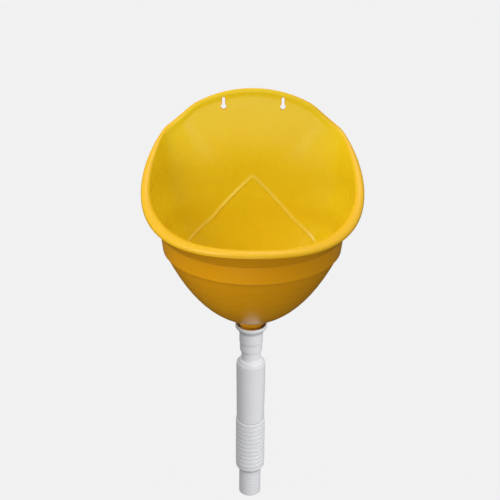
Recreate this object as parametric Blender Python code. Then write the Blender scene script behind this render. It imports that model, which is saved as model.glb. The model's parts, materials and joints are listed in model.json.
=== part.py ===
"""Wall-hung drain bowl with its waste hose, as separate pieces in their assembled places.

Metres, +Z up, +X to the right and +Y into the wall. The bowl's flat back lies in the plane
Y = 0, with the origin midway between its two keyholes.
"""

import math

import bmesh
import bpy
import numpy as np

# Driving dimensions
WALL = 0.003                    # moulded wall of the bowl
GAP = 0.0003                    # clearance left between neighbouring pieces
AXIS_Y = -0.098                 # the drain axis stands this far in front of the wall
RIM_RADIUS = 0.1625             # outer edge of the rolled rim, about the drain axis
WALL_RADIUS = 0.151             # outside of the bowl wall under the front of the rim
RIM_CREST = 0.006               # height of the rim's rounded crest above its widest edge
RIM_DEPTH = 0.0086              # the rolled lip hangs this far below the crest
FRONT_EDGE_Z = -0.1380          # widest edge of the rim at the very front
FRONT_LIFT = 0.0035             # the middle of the front is raised by this much
FRONT_TUCK = 0.0050             # and stands this much nearer the wall
RIM_CURVE = 1.9                 # power with which the rim climbs toward the wall
WALL_FLARE = 2.5                # power with which the wall flares out to the rim's radius
PLATE_ARC_RADIUS = 0.181        # arc of the back plate's outline
PLATE_TOP_Z = 0.0254            # top of that arc
PLATE_CREST = 0.0012            # height of the plate's rounded edge
CORNER_TURN = 0.14              # half the bearing over which the rim becomes the plate's edge
PLATE_BEAD = 0.0025             # thickening along the plate's edge
UPPER_STEP_Z = -0.1580          # the two steps in the bowl's outer wall
LOWER_STEP_Z = -0.188
UPPER_STEP_RADII = (0.1382, 0.1362)   # above and below the upper step
LOWER_STEP_RADII = (0.1328, 0.1302)   # above and below the lower step
BOTTOM_Z = -0.3200              # where the egg-shaped bottom would close on the axis
BOTTOM_CONE = 0.385             # how much of the bottom's rise is a straight cone, not a cubic
INNER_DRAFT = 0.13              # slope of the inside wall above the bottom
INNER_BEND = (0.0019, 0.018)    # extra width that the bottom's curve adds, over this height
INNER_OPENING = (-0.165, 0.065)  # the inside starts to open here, and is open this much higher
CORNER_BLEND = 0.030            # softness of the corner between back and sides, near the rim
CORNER_LOW = 0.034              # the corner is softer by this much lower down
WEDGE_APEX_Z = -0.113           # top of the wedge-shaped field in the back
WEDGE_SPREAD = 1.06             # half width of the wedge for each metre below its apex
WEDGE_LEAN = 0.05               # how fast the wedge leans forward going down
WEDGE_LEDGE = 0.0020            # the wedge stands this far proud of the back

KEYHOLE_SPACING = 0.0894
KEYHOLE_HEAD_RADIUS = 0.0041
KEYHOLE_HEAD_Z = -0.0029
KEYHOLE_SLOT_RADIUS = 0.0023
KEYHOLE_TOP_Z = 0.0116

SPIGOT_RADIUS = 0.0165          # outlet spigot of the bowl
SPIGOT_BORE = 0.0135
SPIGOT_END_Z = -0.345
ROOT_RADIUS = 0.0205            # boss round the spigot's root, which carries the strainer's seat
ROOT_END_Z = -0.3190
STRAINER_SEAT_RADIUS = 0.0205
STRAINER_SEAT_Z = -0.3115
STRAINER_SEAT_DEPTH = 0.0022

COLLAR_TOP_Z = -0.322           # flared mouth of the hose coupling
COLLAR_FLARE_RADIUS = 0.0248
COLLAR_RADIUS = 0.0184
COLLAR_STEP_Z = -0.3534         # the collar narrows here into its threaded end
COLLAR_END_Z = -0.3620
THREAD_RADIUS = 0.0162
LOCK_RING_RADIUS = 0.0176
LOCK_RING_TOP_Z = COLLAR_STEP_Z - GAP
LOCK_RING_END_Z = -0.3694
NECK_RADIUS = 0.0152
NECK_BORE = 0.0128
SHOULDER_Z = -0.3846            # the neck opens into the shoulder here
SLEEVE_TOP_Z = -0.3948
SLEEVE_END_Z = -0.4976
SLEEVE_TOP_RADIUS = 0.0231
SLEEVE_END_RADIUS = 0.0222
HOSE_WALL = 0.0018

RING_PITCH = 0.00795            # height of one closed ring of the bellows
RING_RADIUS = 0.0236
GROOVE_RADIUS = 0.0219
BELLOWS_BORE = 0.0186
BEND_RINGS = 5                  # rings above the middle, where the hose bends
STRETCH_RINGS = 6               # rings below it, which pull out
TAIL_RADIUS = 0.0179
TAIL_TAPER = 0.0105
TAIL_END_Z = -0.644

BOWL_SIDES = 60
PIPE_SIDES = 28
BELLOWS_SIDES = 24

RIM_CORNER = math.acos(-AXIS_Y / RIM_RADIUS)      # bearing from the back where rim meets wall
RIM_CORNER_X = RIM_RADIUS * math.sin(RIM_CORNER)
PLATE_ARC_Z = PLATE_TOP_Z - PLATE_ARC_RADIUS      # centre of the plate's arc
RIM_CORNER_Z = PLATE_ARC_Z + math.sqrt(PLATE_ARC_RADIUS**2 - RIM_CORNER_X**2)
RIM_RISE = RIM_CORNER_Z - PLATE_CREST - FRONT_EDGE_Z   # climb of the widest edge to the wall
AXIS_LEVEL = LOCK_RING_TOP_Z    # height of the empties that stand on the drain axis
WASHER = 0.0016
NECK_FLANGE = 0.0014
NECK_FLANGE_Z = COLLAR_END_Z - GAP - WASHER - GAP
BELLOWS_TOP_Z = SLEEVE_END_Z - GAP
BELLOWS_MIDDLE_Z = BELLOWS_TOP_Z - BEND_RINGS * RING_PITCH
BELLOWS_END_Z = BELLOWS_MIDDLE_Z - STRETCH_RINGS * RING_PITCH
BEND_Z = (BELLOWS_TOP_Z + BELLOWS_MIDDLE_Z) / 2


def clear_scene():
    """Removes whatever the startup file holds."""
    for obj in list(bpy.data.objects):
        bpy.data.objects.remove(obj, do_unlink=True)


def plastic(name, color, roughness):
    """A Principled BSDF material of one colour."""
    material = bpy.data.materials.new(name)
    material.use_nodes = True
    shader = material.node_tree.nodes["Principled BSDF"]
    shader.inputs["Base Color"].default_value = (*color, 1.0)
    shader.inputs["Roughness"].default_value = roughness
    shader.inputs["Metallic"].default_value = 0.0
    return material


def add_object(name, bm, material, parent):
    """Puts a finished bmesh into the scene as one smooth-shaded object on its parent empty."""
    bmesh.ops.recalc_face_normals(bm, faces=bm.faces)
    if bm.calc_volume(signed=True) < 0:
        bmesh.ops.reverse_faces(bm, faces=bm.faces)
    mesh = bpy.data.meshes.new(name)
    bm.to_mesh(mesh)
    bm.free()
    mesh.materials.append(material)
    mesh.shade_smooth()
    mesh.set_sharp_from_angle(angle=math.radians(35))
    obj = bpy.data.objects.new(name, mesh)
    bpy.context.collection.objects.link(obj)
    obj.parent = parent
    return obj


def add_empty(name, location, parent=None):
    """An empty that stands on a joint's axis."""
    empty = bpy.data.objects.new(name, None)
    bpy.context.collection.objects.link(empty)
    empty.location = location
    empty.parent = parent
    return empty


def ring_mesh(rows):
    """Joins closed rings of points into a tube whose last row meets its first.

    rows is an array of shape (rows, sides, 3).
    """
    bm = bmesh.new()
    count, sides = rows.shape[:2]
    grid = [[bm.verts.new(point) for point in row] for row in rows]
    for i in range(count):
        lower, upper = grid[i], grid[(i + 1) % count]
        for j in range(sides):
            k = (j + 1) % sides
            bm.faces.new((lower[j], lower[k], upper[k], upper[j]))
    bmesh.ops.remove_doubles(bm, verts=bm.verts, dist=1e-6)
    return bm


def turned(profile, sides=PIPE_SIDES, level=0.0):
    """A bmesh of the closed profile of (radius, height) points turned about the local Z axis."""
    angles = np.arange(sides) * 2 * math.pi / sides
    profile = np.array(profile)
    radius = profile[:, :1]
    rows = np.stack(
        [radius * np.sin(angles), -radius * np.cos(angles), profile[:, 1:] - level + 0 * angles],
        axis=-1,
    )
    return ring_mesh(rows)


def smooth_step(value):
    """0 below 0, 1 above 1, and an even S between them."""
    value = np.clip(value, 0.0, 1.0)
    return value * value * (3 - 2 * value)


def soft_minimum(first, second, softness):
    """The lesser of two lengths, rounded off where they are within softness of each other."""
    overlap = np.clip(softness - np.abs(first - second), 0.0, None) / softness
    return np.minimum(first, second) - overlap * overlap * softness / 4


# The bowl is drawn round its drain axis: a bearing of 0 faces away from the wall.


def plane_radius(bearing, height, inset):
    """Distance from the drain axis to the flat back, along a bearing.

    Inside the wedge the back leans forward: by WEDGE_LEAN times the depth below the apex,
    falling to nothing at the wedge's two edges as a parabola.
    """
    toward_wall = -np.cos(bearing)
    facing = toward_wall > 0.05
    flat = (-AXIS_Y - inset) / np.where(facing, toward_wall, 1.0)
    across = flat * np.sin(bearing)
    depth = np.clip(WEDGE_APEX_Z - height, 0.0, None)
    edge = np.maximum(WEDGE_SPREAD * depth, 1e-6)
    lean = WEDGE_LEAN * depth * np.clip(1 - (across / edge) ** 2, 0.0, None)
    lean += WEDGE_LEDGE * smooth_step((edge - np.abs(across)) / 0.004)
    leaned = (-AXIS_Y - inset - lean) / np.where(facing, toward_wall, 1.0)
    return np.where(facing, leaned, 1.0)


def upper_radius(height):
    """Outside radius of the bowl wall above its upper step, flaring out toward the wall plane."""
    widen = (height - UPPER_STEP_Z) / (FRONT_EDGE_Z - UPPER_STEP_Z)
    low = UPPER_STEP_RADII[0] + (WALL_RADIUS - UPPER_STEP_RADII[0]) * np.clip(widen, 0.0, 1.0)
    rise = np.clip((height - FRONT_EDGE_Z) / RIM_RISE, 0.0, 1.0)
    return low + (RIM_RADIUS - WALL_RADIUS) * rise**WALL_FLARE


def inner_radius(height):
    """Inside radius above the bottom: a drafted wall that opens in an S toward the rim."""
    foot_radius, foot_z = inside_profile()[-1]
    climb = height - foot_z
    bend = 1 - (1 - np.clip(climb / INNER_BEND[1], 0.0, 1.0)) ** 3
    low = foot_radius + INNER_DRAFT * climb + INNER_BEND[0] * bend
    rise = np.clip((height - FRONT_EDGE_Z) / RIM_RISE, 0.0, 1.0)
    top = WALL_RADIUS + (RIM_RADIUS - WALL_RADIUS) * rise**WALL_FLARE - WALL
    opening = smooth_step((height - INNER_OPENING[0]) / INNER_OPENING[1])
    return low * (1 - opening) + top * opening


def corner_softness(height):
    """Softness of the corner between back and sides at a height."""
    return CORNER_BLEND + CORNER_LOW * smooth_step((-0.03 - height) / 0.10)


def body_profile():
    """Outside of the bowl from the spigot up to its upper step, as (radius, height) points.

    With u the share of the full radius, the bottom rises as a cone's part of u plus a
    cubic's part of u cubed.
    """
    points = [
        (SPIGOT_RADIUS, ROOT_END_Z), (ROOT_RADIUS - 0.0006, ROOT_END_Z + 0.0004),
        (ROOT_RADIUS + 0.0006, ROOT_END_Z + 0.0020),
    ]
    full = LOWER_STEP_Z - 0.002 - BOTTOM_Z
    for share in (0.18, 0.25, 0.34, 0.46, 0.58, 0.70, 0.81, 0.91, 1.0):
        rise = BOTTOM_CONE * share + (1 - BOTTOM_CONE) * share**3
        points.append((LOWER_STEP_RADII[1] * share, BOTTOM_Z + full * rise))
    points.append((LOWER_STEP_RADII[0], LOWER_STEP_Z))
    points.append((UPPER_STEP_RADII[1], UPPER_STEP_Z - 0.002))
    points.append((UPPER_STEP_RADII[0], UPPER_STEP_Z))
    return np.array(points)


def inside_profile():
    """Inside of the bowl's bottom, from the strainer's seat up, one wall in from the outside."""
    below = body_profile()[:-3]
    along = np.gradient(below, axis=0)
    along /= np.linalg.norm(along, axis=1, keepdims=True)
    inward = np.stack([-along[:, 1], along[:, 0]], axis=1)
    points = below + WALL * inward
    return points[points[:, 0] > STRAINER_SEAT_RADIUS + 0.001]


def rim_edge(bearing):
    """(radius, height, crest, on_plate) of the rim's widest edge, for each bearing.

    The edge climbs from the front to the wall by a power of its distance from the front, and
    follows the plate's arc behind. The rounded crest above it grows lower as the rim narrows
    toward the wall.
    """
    front_middle = np.clip(np.cos(bearing), 0.0, 1.0) ** 6
    circle = RIM_RADIUS - FRONT_TUCK * front_middle
    radius = soft_minimum(circle, plane_radius(bearing, 0.0, 0.0), 0.012)
    x = radius * np.sin(bearing)
    y = AXIS_Y - radius * np.cos(bearing)
    front = AXIS_Y - RIM_RADIUS
    climb = FRONT_EDGE_Z + RIM_RISE * ((y - front) / -front) ** RIM_CURVE
    arc = PLATE_ARC_Z + np.sqrt(np.clip(PLATE_ARC_RADIUS**2 - x**2, 1e-6, None)) - PLATE_CREST
    from_back = np.pi - np.abs(bearing)
    on_plate = smooth_step((RIM_CORNER + CORNER_TURN - from_back) / (2 * CORNER_TURN))
    height = climb * (1 - on_plate) + arc * on_plate + FRONT_LIFT * front_middle
    width = np.clip((RIM_RADIUS - upper_radius(climb)) / (RIM_RADIUS - WALL_RADIUS), 0.0, 1.0)
    crest = PLATE_CREST + (RIM_CREST - PLATE_CREST) * width * (1 - on_plate)
    return radius, height, crest, on_plate


def bowl_rows():
    """Rings of points from the spigot's end up the outside, over the rim and down the inside."""
    bearing = -math.pi + (np.arange(BOWL_SIDES) + 0.5) * 2 * math.pi / BOWL_SIDES
    edge_radius, shoulder_z, crest, on_plate = rim_edge(bearing)
    crest_z = shoulder_z + crest
    lip_z = crest_z - RIM_DEPTH

    def outer(radius, height):
        return soft_minimum(radius, plane_radius(bearing, height, 0.0), corner_softness(height))

    def inner(radius, height):
        near_edge = smooth_step(1 - (crest_z - height) / 0.012)
        bead = PLATE_BEAD * on_plate * near_edge
        plane = plane_radius(bearing, height, WALL)
        return soft_minimum(radius, plane, corner_softness(height)) - bead

    flat = np.zeros(BOWL_SIDES)
    rows = [(flat + SPIGOT_RADIUS, flat + SPIGOT_END_Z)]
    outside = body_profile()
    for radius, height in outside:
        rows.append((outer(radius, height), flat + height))
    for share in (0.25, 0.5, 0.75):
        height = UPPER_STEP_Z + share * (lip_z - UPPER_STEP_Z)
        rows.append((outer(upper_radius(height), height), height))

    # Under the rolled lip: the wall goes up inside it, across, and down to the lip's edge.
    # Where the rim lies flat against the wall plane there is no hollow, and these rings
    # only follow one another up the back.
    wall_out = outer(upper_radius(shoulder_z), shoulder_z)
    hollow = smooth_step((edge_radius - wall_out - 0.002) / 0.006)
    low_wall = outer(upper_radius(lip_z), lip_z)
    edge_out = np.maximum(edge_radius, low_wall)
    lip_in = low_wall + (edge_out - low_wall) * 0.72
    roof = hollow * (shoulder_z - 0.0005 - lip_z)
    step = (1 - hollow) * 0.001
    rows.append((low_wall, lip_z - 4 * step))
    rows.append((low_wall + (wall_out - low_wall) * hollow, lip_z - 3 * step + roof))
    rows.append((low_wall + (lip_in - low_wall) * 0.9, lip_z - 2 * step + roof))
    rows.append((lip_in, lip_z - step))
    rows.append((edge_out, lip_z))
    rows.append((edge_out, shoulder_z))

    # The crest is half an ellipse from the widest edge to the inside wall.
    wall_in = inner(inner_radius(shoulder_z), shoulder_z)
    for turn in (36, 72, 108, 144, 180):
        swing = math.radians(turn)
        middle = (edge_out + wall_in) / 2
        reach = (edge_out - wall_in) / 2
        rows.append((middle + reach * math.cos(swing), shoulder_z + crest * math.sin(swing)))

    for share in (0.9, 0.7, 0.35):
        height = UPPER_STEP_Z + share * (shoulder_z - UPPER_STEP_Z)
        rows.append((inner(inner_radius(height), height), height))
    for share in (0.14, 0.40, 0.70):
        height = UPPER_STEP_Z + share * (LOWER_STEP_Z - UPPER_STEP_Z)
        rows.append((inner(inner_radius(height), height), flat + height))
    for radius, height in inside_profile()[::-1]:
        rows.append((inner(radius, height), flat + height))
    rows.append((flat + STRAINER_SEAT_RADIUS, flat + STRAINER_SEAT_Z + STRAINER_SEAT_DEPTH))
    rows.append((flat + STRAINER_SEAT_RADIUS, flat + STRAINER_SEAT_Z))
    rows.append((flat + SPIGOT_BORE, flat + STRAINER_SEAT_Z))
    rows.append((flat + SPIGOT_BORE, flat + SPIGOT_END_Z))

    radius = np.array([row[0] for row in rows])
    height = np.array([row[1] for row in rows])
    return np.stack([radius * np.sin(bearing), AXIS_Y - radius * np.cos(bearing), height], axis=-1)


def keyhole_cutter(name, x):
    """A keyhole-shaped prism through the back plate: a round hole with a slot above it."""
    reach = math.sqrt(KEYHOLE_HEAD_RADIUS**2 - KEYHOLE_SLOT_RADIUS**2)
    start = math.atan2(reach, KEYHOLE_SLOT_RADIUS)
    head_turns = np.linspace(math.pi - start, 2 * math.pi + start, 14)
    slot_centre = KEYHOLE_TOP_Z - KEYHOLE_SLOT_RADIUS
    slot_turns = np.linspace(0.0, math.pi, 8)
    across = np.concatenate(
        [KEYHOLE_HEAD_RADIUS * np.cos(head_turns), KEYHOLE_SLOT_RADIUS * np.cos(slot_turns)]
    )
    up = np.concatenate(
        [
            KEYHOLE_HEAD_Z + KEYHOLE_HEAD_RADIUS * np.sin(head_turns),
            slot_centre + KEYHOLE_SLOT_RADIUS * np.sin(slot_turns),
        ]
    )
    bm = bmesh.new()
    outline = [bm.verts.new((x + a, 0.010, u)) for a, u in zip(across, up)]
    face = bm.faces.new(outline)
    extruded = bmesh.ops.extrude_face_region(bm, geom=[face])
    moved = [item for item in extruded["geom"] if isinstance(item, bmesh.types.BMVert)]
    bmesh.ops.translate(bm, verts=moved, vec=(0.0, -0.030, 0.0))
    cutter = add_object(name, bm, plastic(name, (0.5, 0.5, 0.5), 0.5), None)
    cutter.hide_render = True
    cutter.display_type = "WIRE"
    return cutter


def add_bowl(material, root):
    """The one-piece moulded bowl: back plate, rolled rim, stepped body and outlet spigot."""
    bowl = add_object("bowl_shell", ring_mesh(bowl_rows()), material, root)
    for side, x in (("left", -KEYHOLE_SPACING / 2), ("right", KEYHOLE_SPACING / 2)):
        cut = bowl.modifiers.new("keyhole_" + side, "BOOLEAN")
        cut.operation = "DIFFERENCE"
        cut.solver = "EXACT"
        cut.object = keyhole_cutter("keyhole_cutter_" + side, x)
    return bowl


def add_strainer(material, parent):
    """A loose disc with round holes, whose skirt drops into the outlet."""
    top = STRAINER_SEAT_Z + GAP + 0.002
    rim = STRAINER_SEAT_RADIUS - 0.0006
    skirt = SPIGOT_BORE - 0.0006
    profile = [
        (0.0020, top), (rim - 0.0006, top), (rim, top - 0.0006), (rim, STRAINER_SEAT_Z + GAP),
        (skirt, STRAINER_SEAT_Z + GAP), (skirt, STRAINER_SEAT_Z - 0.012),
        (skirt - 0.0014, STRAINER_SEAT_Z - 0.012), (skirt - 0.0014, STRAINER_SEAT_Z + GAP),
        (0.0020, STRAINER_SEAT_Z + GAP),
    ]
    strainer = add_object("drain_strainer", turned(profile, 24, STRAINER_SEAT_Z), material, parent)
    bm = bmesh.new()
    for i in range(6):
        turn = math.radians(60 * i)
        made = bmesh.ops.create_cone(
            bm, cap_ends=True, segments=10, radius1=0.0021, radius2=0.0021, depth=0.02
        )
        centre = (0.0072 * math.sin(turn), 0.0072 * math.cos(turn), 0.001)
        bmesh.ops.translate(bm, verts=made["verts"], vec=centre)
    holes = add_object("strainer_hole_cutter", bm, material, parent)
    holes.hide_render = True
    holes.display_type = "WIRE"
    cut = strainer.modifiers.new("holes", "BOOLEAN")
    cut.operation = "DIFFERENCE"
    cut.solver = "EXACT"
    cut.object = holes
    return strainer


def add_collar(white, rubber, parent):
    """The coupling that slips over the spigot, and the rubber ring in its flared mouth."""
    bore = SPIGOT_RADIUS + 0.0004
    flare = COLLAR_FLARE_RADIUS
    profile = [
        (flare - 0.0016, COLLAR_TOP_Z), (flare - 0.0004, COLLAR_TOP_Z - 0.0006),
        (flare, COLLAR_TOP_Z - 0.002), (flare, COLLAR_TOP_Z - 0.0042),
        (flare - 0.0008, COLLAR_TOP_Z - 0.0056), (COLLAR_RADIUS + 0.0016, COLLAR_TOP_Z - 0.0105),
        (COLLAR_RADIUS, COLLAR_TOP_Z - 0.0145), (COLLAR_RADIUS, COLLAR_STEP_Z + 0.0008),
        (COLLAR_RADIUS - 0.0008, COLLAR_STEP_Z), (THREAD_RADIUS, COLLAR_STEP_Z),
        (THREAD_RADIUS, COLLAR_END_Z + 0.0006), (THREAD_RADIUS - 0.0006, COLLAR_END_Z),
        (SPIGOT_BORE, COLLAR_END_Z), (SPIGOT_BORE, SPIGOT_END_Z - 0.001),
        (bore, SPIGOT_END_Z - 0.001), (bore, COLLAR_TOP_Z - 0.013),
        (flare - 0.0030, COLLAR_TOP_Z - 0.0052), (flare - 0.0026, COLLAR_TOP_Z - 0.0006),
    ]
    add_object("coupling_collar", turned(profile, level=AXIS_LEVEL), white, parent)
    seal_bore = SPIGOT_RADIUS + GAP
    seal = [
        (seal_bore, COLLAR_TOP_Z - 0.0040), (flare - 0.0036, COLLAR_TOP_Z - 0.0046),
        (flare - 0.0036, COLLAR_TOP_Z - 0.0054), (seal_bore + 0.0004, COLLAR_TOP_Z - 0.0116),
        (seal_bore, COLLAR_TOP_Z - 0.0116),
    ]
    add_object("spigot_gasket", turned(seal, level=AXIS_LEVEL), rubber, parent)


def add_union(white, rubber, root, slip, nut):
    """The flat washer, the slip ring and the lock ring that pull the hose neck to the collar."""
    washer_top = COLLAR_END_Z - GAP
    washer_radius = THREAD_RADIUS - 0.0004
    washer = [
        (SPIGOT_BORE, washer_top), (washer_radius, washer_top),
        (washer_radius, washer_top - WASHER), (SPIGOT_BORE, washer_top - WASHER),
    ]
    add_object("union_washer", turned(washer, level=AXIS_LEVEL), rubber, root)
    slip_top = NECK_FLANGE_Z - NECK_FLANGE - GAP
    slip_end = slip_top - 0.0012
    slip_bore = NECK_RADIUS + GAP
    slip_profile = [
        (slip_bore, slip_top), (THREAD_RADIUS, slip_top), (THREAD_RADIUS, slip_end),
        (slip_bore, slip_end),
    ]
    add_object("slip_ring", turned(slip_profile, level=AXIS_LEVEL), white, slip)

    bore = THREAD_RADIUS + GAP
    lip_z = slip_end - GAP
    profile = [
        (bore, LOCK_RING_TOP_Z), (LOCK_RING_RADIUS - 0.0007, LOCK_RING_TOP_Z),
        (LOCK_RING_RADIUS, LOCK_RING_TOP_Z - 0.0008), (LOCK_RING_RADIUS, LOCK_RING_END_Z + 0.0012),
        (LOCK_RING_RADIUS - 0.0010, LOCK_RING_END_Z), (slip_bore, LOCK_RING_END_Z),
        (slip_bore, lip_z), (bore, lip_z),
    ]
    add_object("lock_ring", turned(profile, 36, level=AXIS_LEVEL), white, nut)


def add_sleeve(white, rubber, silicone, parent):
    """The hose's stiff upper part: neck and shoulder cap, sleeve, and the valve held inside."""
    flange = THREAD_RADIUS - 0.0002
    cap_radius = SLEEVE_TOP_RADIUS - 0.0002
    skirt = SLEEVE_TOP_RADIUS - HOSE_WALL - 0.0004
    groove_z = SLEEVE_TOP_Z - 0.0060
    cap = [
        (NECK_BORE, NECK_FLANGE_Z), (flange, NECK_FLANGE_Z), (flange, NECK_FLANGE_Z - NECK_FLANGE),
        (NECK_RADIUS, NECK_FLANGE_Z - NECK_FLANGE), (NECK_RADIUS, SHOULDER_Z + 0.0010),
        (NECK_RADIUS + 0.0012, SHOULDER_Z - 0.0004), (0.0186, SHOULDER_Z - 0.0014),
        (0.0198, SHOULDER_Z - 0.0030), (0.0202, SHOULDER_Z - 0.0046),
        (cap_radius - 0.0014, SHOULDER_Z - 0.0054), (cap_radius - 0.0002, SHOULDER_Z - 0.0070),
        (cap_radius, SLEEVE_TOP_Z + GAP), (skirt, SLEEVE_TOP_Z + GAP),
        (skirt, groove_z + 0.0012), (skirt - 0.0012, groove_z + 0.0012),
        (skirt - 0.0012, groove_z - 0.0012), (skirt, groove_z - 0.0012),
        (skirt, SLEEVE_TOP_Z - 0.0110), (skirt - 0.0024, SLEEVE_TOP_Z - 0.0110),
        (skirt - 0.0026, SHOULDER_Z - 0.0070), (NECK_BORE + 0.0010, SHOULDER_Z - 0.0020),
        (NECK_BORE, SHOULDER_Z),
    ]
    add_object("sleeve_cap", turned(cap, level=AXIS_LEVEL), white, parent)

    seal_middle = skirt - 0.0004
    seal = [
        (seal_middle + 0.00055 * math.cos(turn), groove_z + 0.0008 * math.sin(turn))
        for turn in np.arange(8) * math.pi / 4
    ]
    add_object("sleeve_oring", turned(seal, level=AXIS_LEVEL), rubber, parent)

    sleeve = [
        (SLEEVE_TOP_RADIUS - HOSE_WALL, SLEEVE_TOP_Z), (SLEEVE_TOP_RADIUS - 0.0006, SLEEVE_TOP_Z),
        (SLEEVE_TOP_RADIUS, SLEEVE_TOP_Z - 0.0008), (SLEEVE_END_RADIUS, SLEEVE_END_Z + 0.0006),
        (SLEEVE_END_RADIUS - 0.0006, SLEEVE_END_Z),
        (SLEEVE_END_RADIUS - HOSE_WALL, SLEEVE_END_Z),
        (SLEEVE_END_RADIUS - HOSE_WALL, SLEEVE_END_Z + 0.030),
        (SLEEVE_TOP_RADIUS - HOSE_WALL, SLEEVE_TOP_Z - 0.0180),
    ]
    add_object("hose_sleeve", turned(sleeve, level=AXIS_LEVEL), white, parent)

    seat_z = SLEEVE_TOP_Z - 0.0150
    valve_neck = 0.0126
    seat = [
        (valve_neck + GAP, seat_z), (skirt, seat_z), (skirt, seat_z - 0.0025),
        (valve_neck + GAP, seat_z - 0.0025),
    ]
    add_object("valve_seat", turned(seat, level=AXIS_LEVEL), white, parent)
    add_valve(silicone, parent, seat_z + GAP, valve_neck)


def add_valve(silicone, parent, flange_z, neck):
    """A soft one-way valve: a flanged tube that flattens to a narrow slit at its lower end."""
    wall = 0.0012
    slit = 0.0003
    length = 0.036
    flange = [(neck + 0.0045, 0.0), (neck + 0.0045, 0.0016), (neck - wall, 0.0016)]
    turns = np.arange(PIPE_SIDES) * 2 * math.pi / PIPE_SIDES
    stages = np.array([0.0, 0.25, 0.5, 0.75, 1.0])
    rows = [(radius, radius, height) for radius, height in flange]
    for stage in stages:
        closing = smooth_step(stage) * (neck - wall - slit)
        rows.append((neck - wall, neck - wall - closing, -stage * length))
    for stage in stages[::-1]:
        closing = smooth_step(stage) * (neck - wall - slit)
        rows.append((neck, neck - closing, -stage * length))
    wide, thin, height = (column[:, None] for column in np.array(rows).T)
    level = height + flange_z - AXIS_LEVEL + 0 * turns
    grid = np.stack([wide * np.cos(turns), thin * np.sin(turns), level], axis=-1)
    add_object("odour_valve", ring_mesh(grid), silicone, parent)


def bellows_profile(top, rings):
    """Closed profile of a run of bellows rings: outside down, then inside up."""
    wall = 0.0012
    edge = RING_RADIUS - 0.0005
    shape = ((0.0, GROOVE_RADIUS), (0.10, edge), (0.50, RING_RADIUS), (0.90, edge))
    outside = []
    inside = []
    for ring in range(rings):
        for share, radius in shape:
            height = top - (ring + share) * RING_PITCH
            outside.append((radius, height))
            inside.append((radius - wall if share else BELLOWS_BORE, height))
    bottom = top - rings * RING_PITCH + GAP
    outside.append((GROOVE_RADIUS, bottom))
    inside.append((BELLOWS_BORE, bottom))
    return outside + inside[::-1]


def add_bellows(white, upper, middle, tail):
    """The closed rings in two runs, and the smooth tail with its tapered top."""
    bend = turned(bellows_profile(BELLOWS_TOP_Z, BEND_RINGS), BELLOWS_SIDES, AXIS_LEVEL)
    add_object("bellows_upper", bend, white, upper)
    pull = turned(bellows_profile(BELLOWS_MIDDLE_Z, STRETCH_RINGS), BELLOWS_SIDES, BEND_Z)
    add_object("bellows_lower", pull, white, middle)
    taper_end = BELLOWS_END_Z - TAIL_TAPER
    bore = TAIL_RADIUS - 0.0016
    outside = [
        (GROOVE_RADIUS, BELLOWS_END_Z), (RING_RADIUS - 0.0006, BELLOWS_END_Z - 0.0010),
        (RING_RADIUS - 0.0004, BELLOWS_END_Z - 0.0030), (TAIL_RADIUS + 0.0008, taper_end + 0.0010),
        (TAIL_RADIUS, taper_end - 0.0010), (TAIL_RADIUS, TAIL_END_Z + 0.0012),
        (TAIL_RADIUS - 0.0005, TAIL_END_Z),
    ]
    inside = [
        (bore, TAIL_END_Z), (bore, taper_end - 0.0010), (bore + 0.0006, taper_end + 0.0010),
        (BELLOWS_BORE + 0.0024, BELLOWS_END_Z - 0.0030), (BELLOWS_BORE, BELLOWS_END_Z),
    ]
    add_object("tail_cuff", turned(outside + inside, level=BELLOWS_MIDDLE_Z), white, tail)


def main():
    """Builds every piece in its assembled place."""
    clear_scene()
    yellow = plastic("yellow_plastic", (0.84, 0.58, 0.02), 0.22)
    white = plastic("white_plastic", (0.80, 0.81, 0.83), 0.40)
    rubber = plastic("grey_rubber", (0.55, 0.56, 0.57), 0.75)
    silicone = plastic("clear_silicone", (0.72, 0.74, 0.76), 0.45)

    root = add_empty("wall_frame", (0.0, 0.0, 0.0))
    on_axis = (0.0, AXIS_Y, AXIS_LEVEL)
    collar = add_empty("collar_axis", on_axis, root)
    strainer = add_empty("strainer_axis", (0.0, AXIS_Y, STRAINER_SEAT_Z), root)
    slip = add_empty("slip_axis", on_axis, root)
    nut = add_empty("lock_axis", (0.0, 0.0, 0.0), slip)
    hose = add_empty("hose_axis", on_axis, root)
    middle = add_empty("bend_axis", (0.0, 0.0, BEND_Z - AXIS_LEVEL), hose)
    tail = add_empty("tail_axis", (0.0, 0.0, BELLOWS_MIDDLE_Z - BEND_Z), middle)

    add_bowl(yellow, root)
    add_strainer(white, strainer)
    add_collar(white, rubber, collar)
    add_union(white, rubber, collar, slip, nut)
    add_sleeve(white, rubber, silicone, hose)
    add_bellows(white, hose, middle, tail)


main()
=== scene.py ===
"""Looks of a wall-hung drain bowl and its waste hose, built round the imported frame.

Metres, +Z up, +X to the right and +Y into the wall, with the origin midway between the bowl's
two keyholes. Every shape is turned or lofted about the upright drain axis. A place round that
axis is given by its turn from the back: 0 points into the wall, half a turn points away from it.
"""

import json
import logging
import math
from collections.abc import Callable, Mapping, Sequence
from dataclasses import dataclass
from enum import Enum

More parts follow.
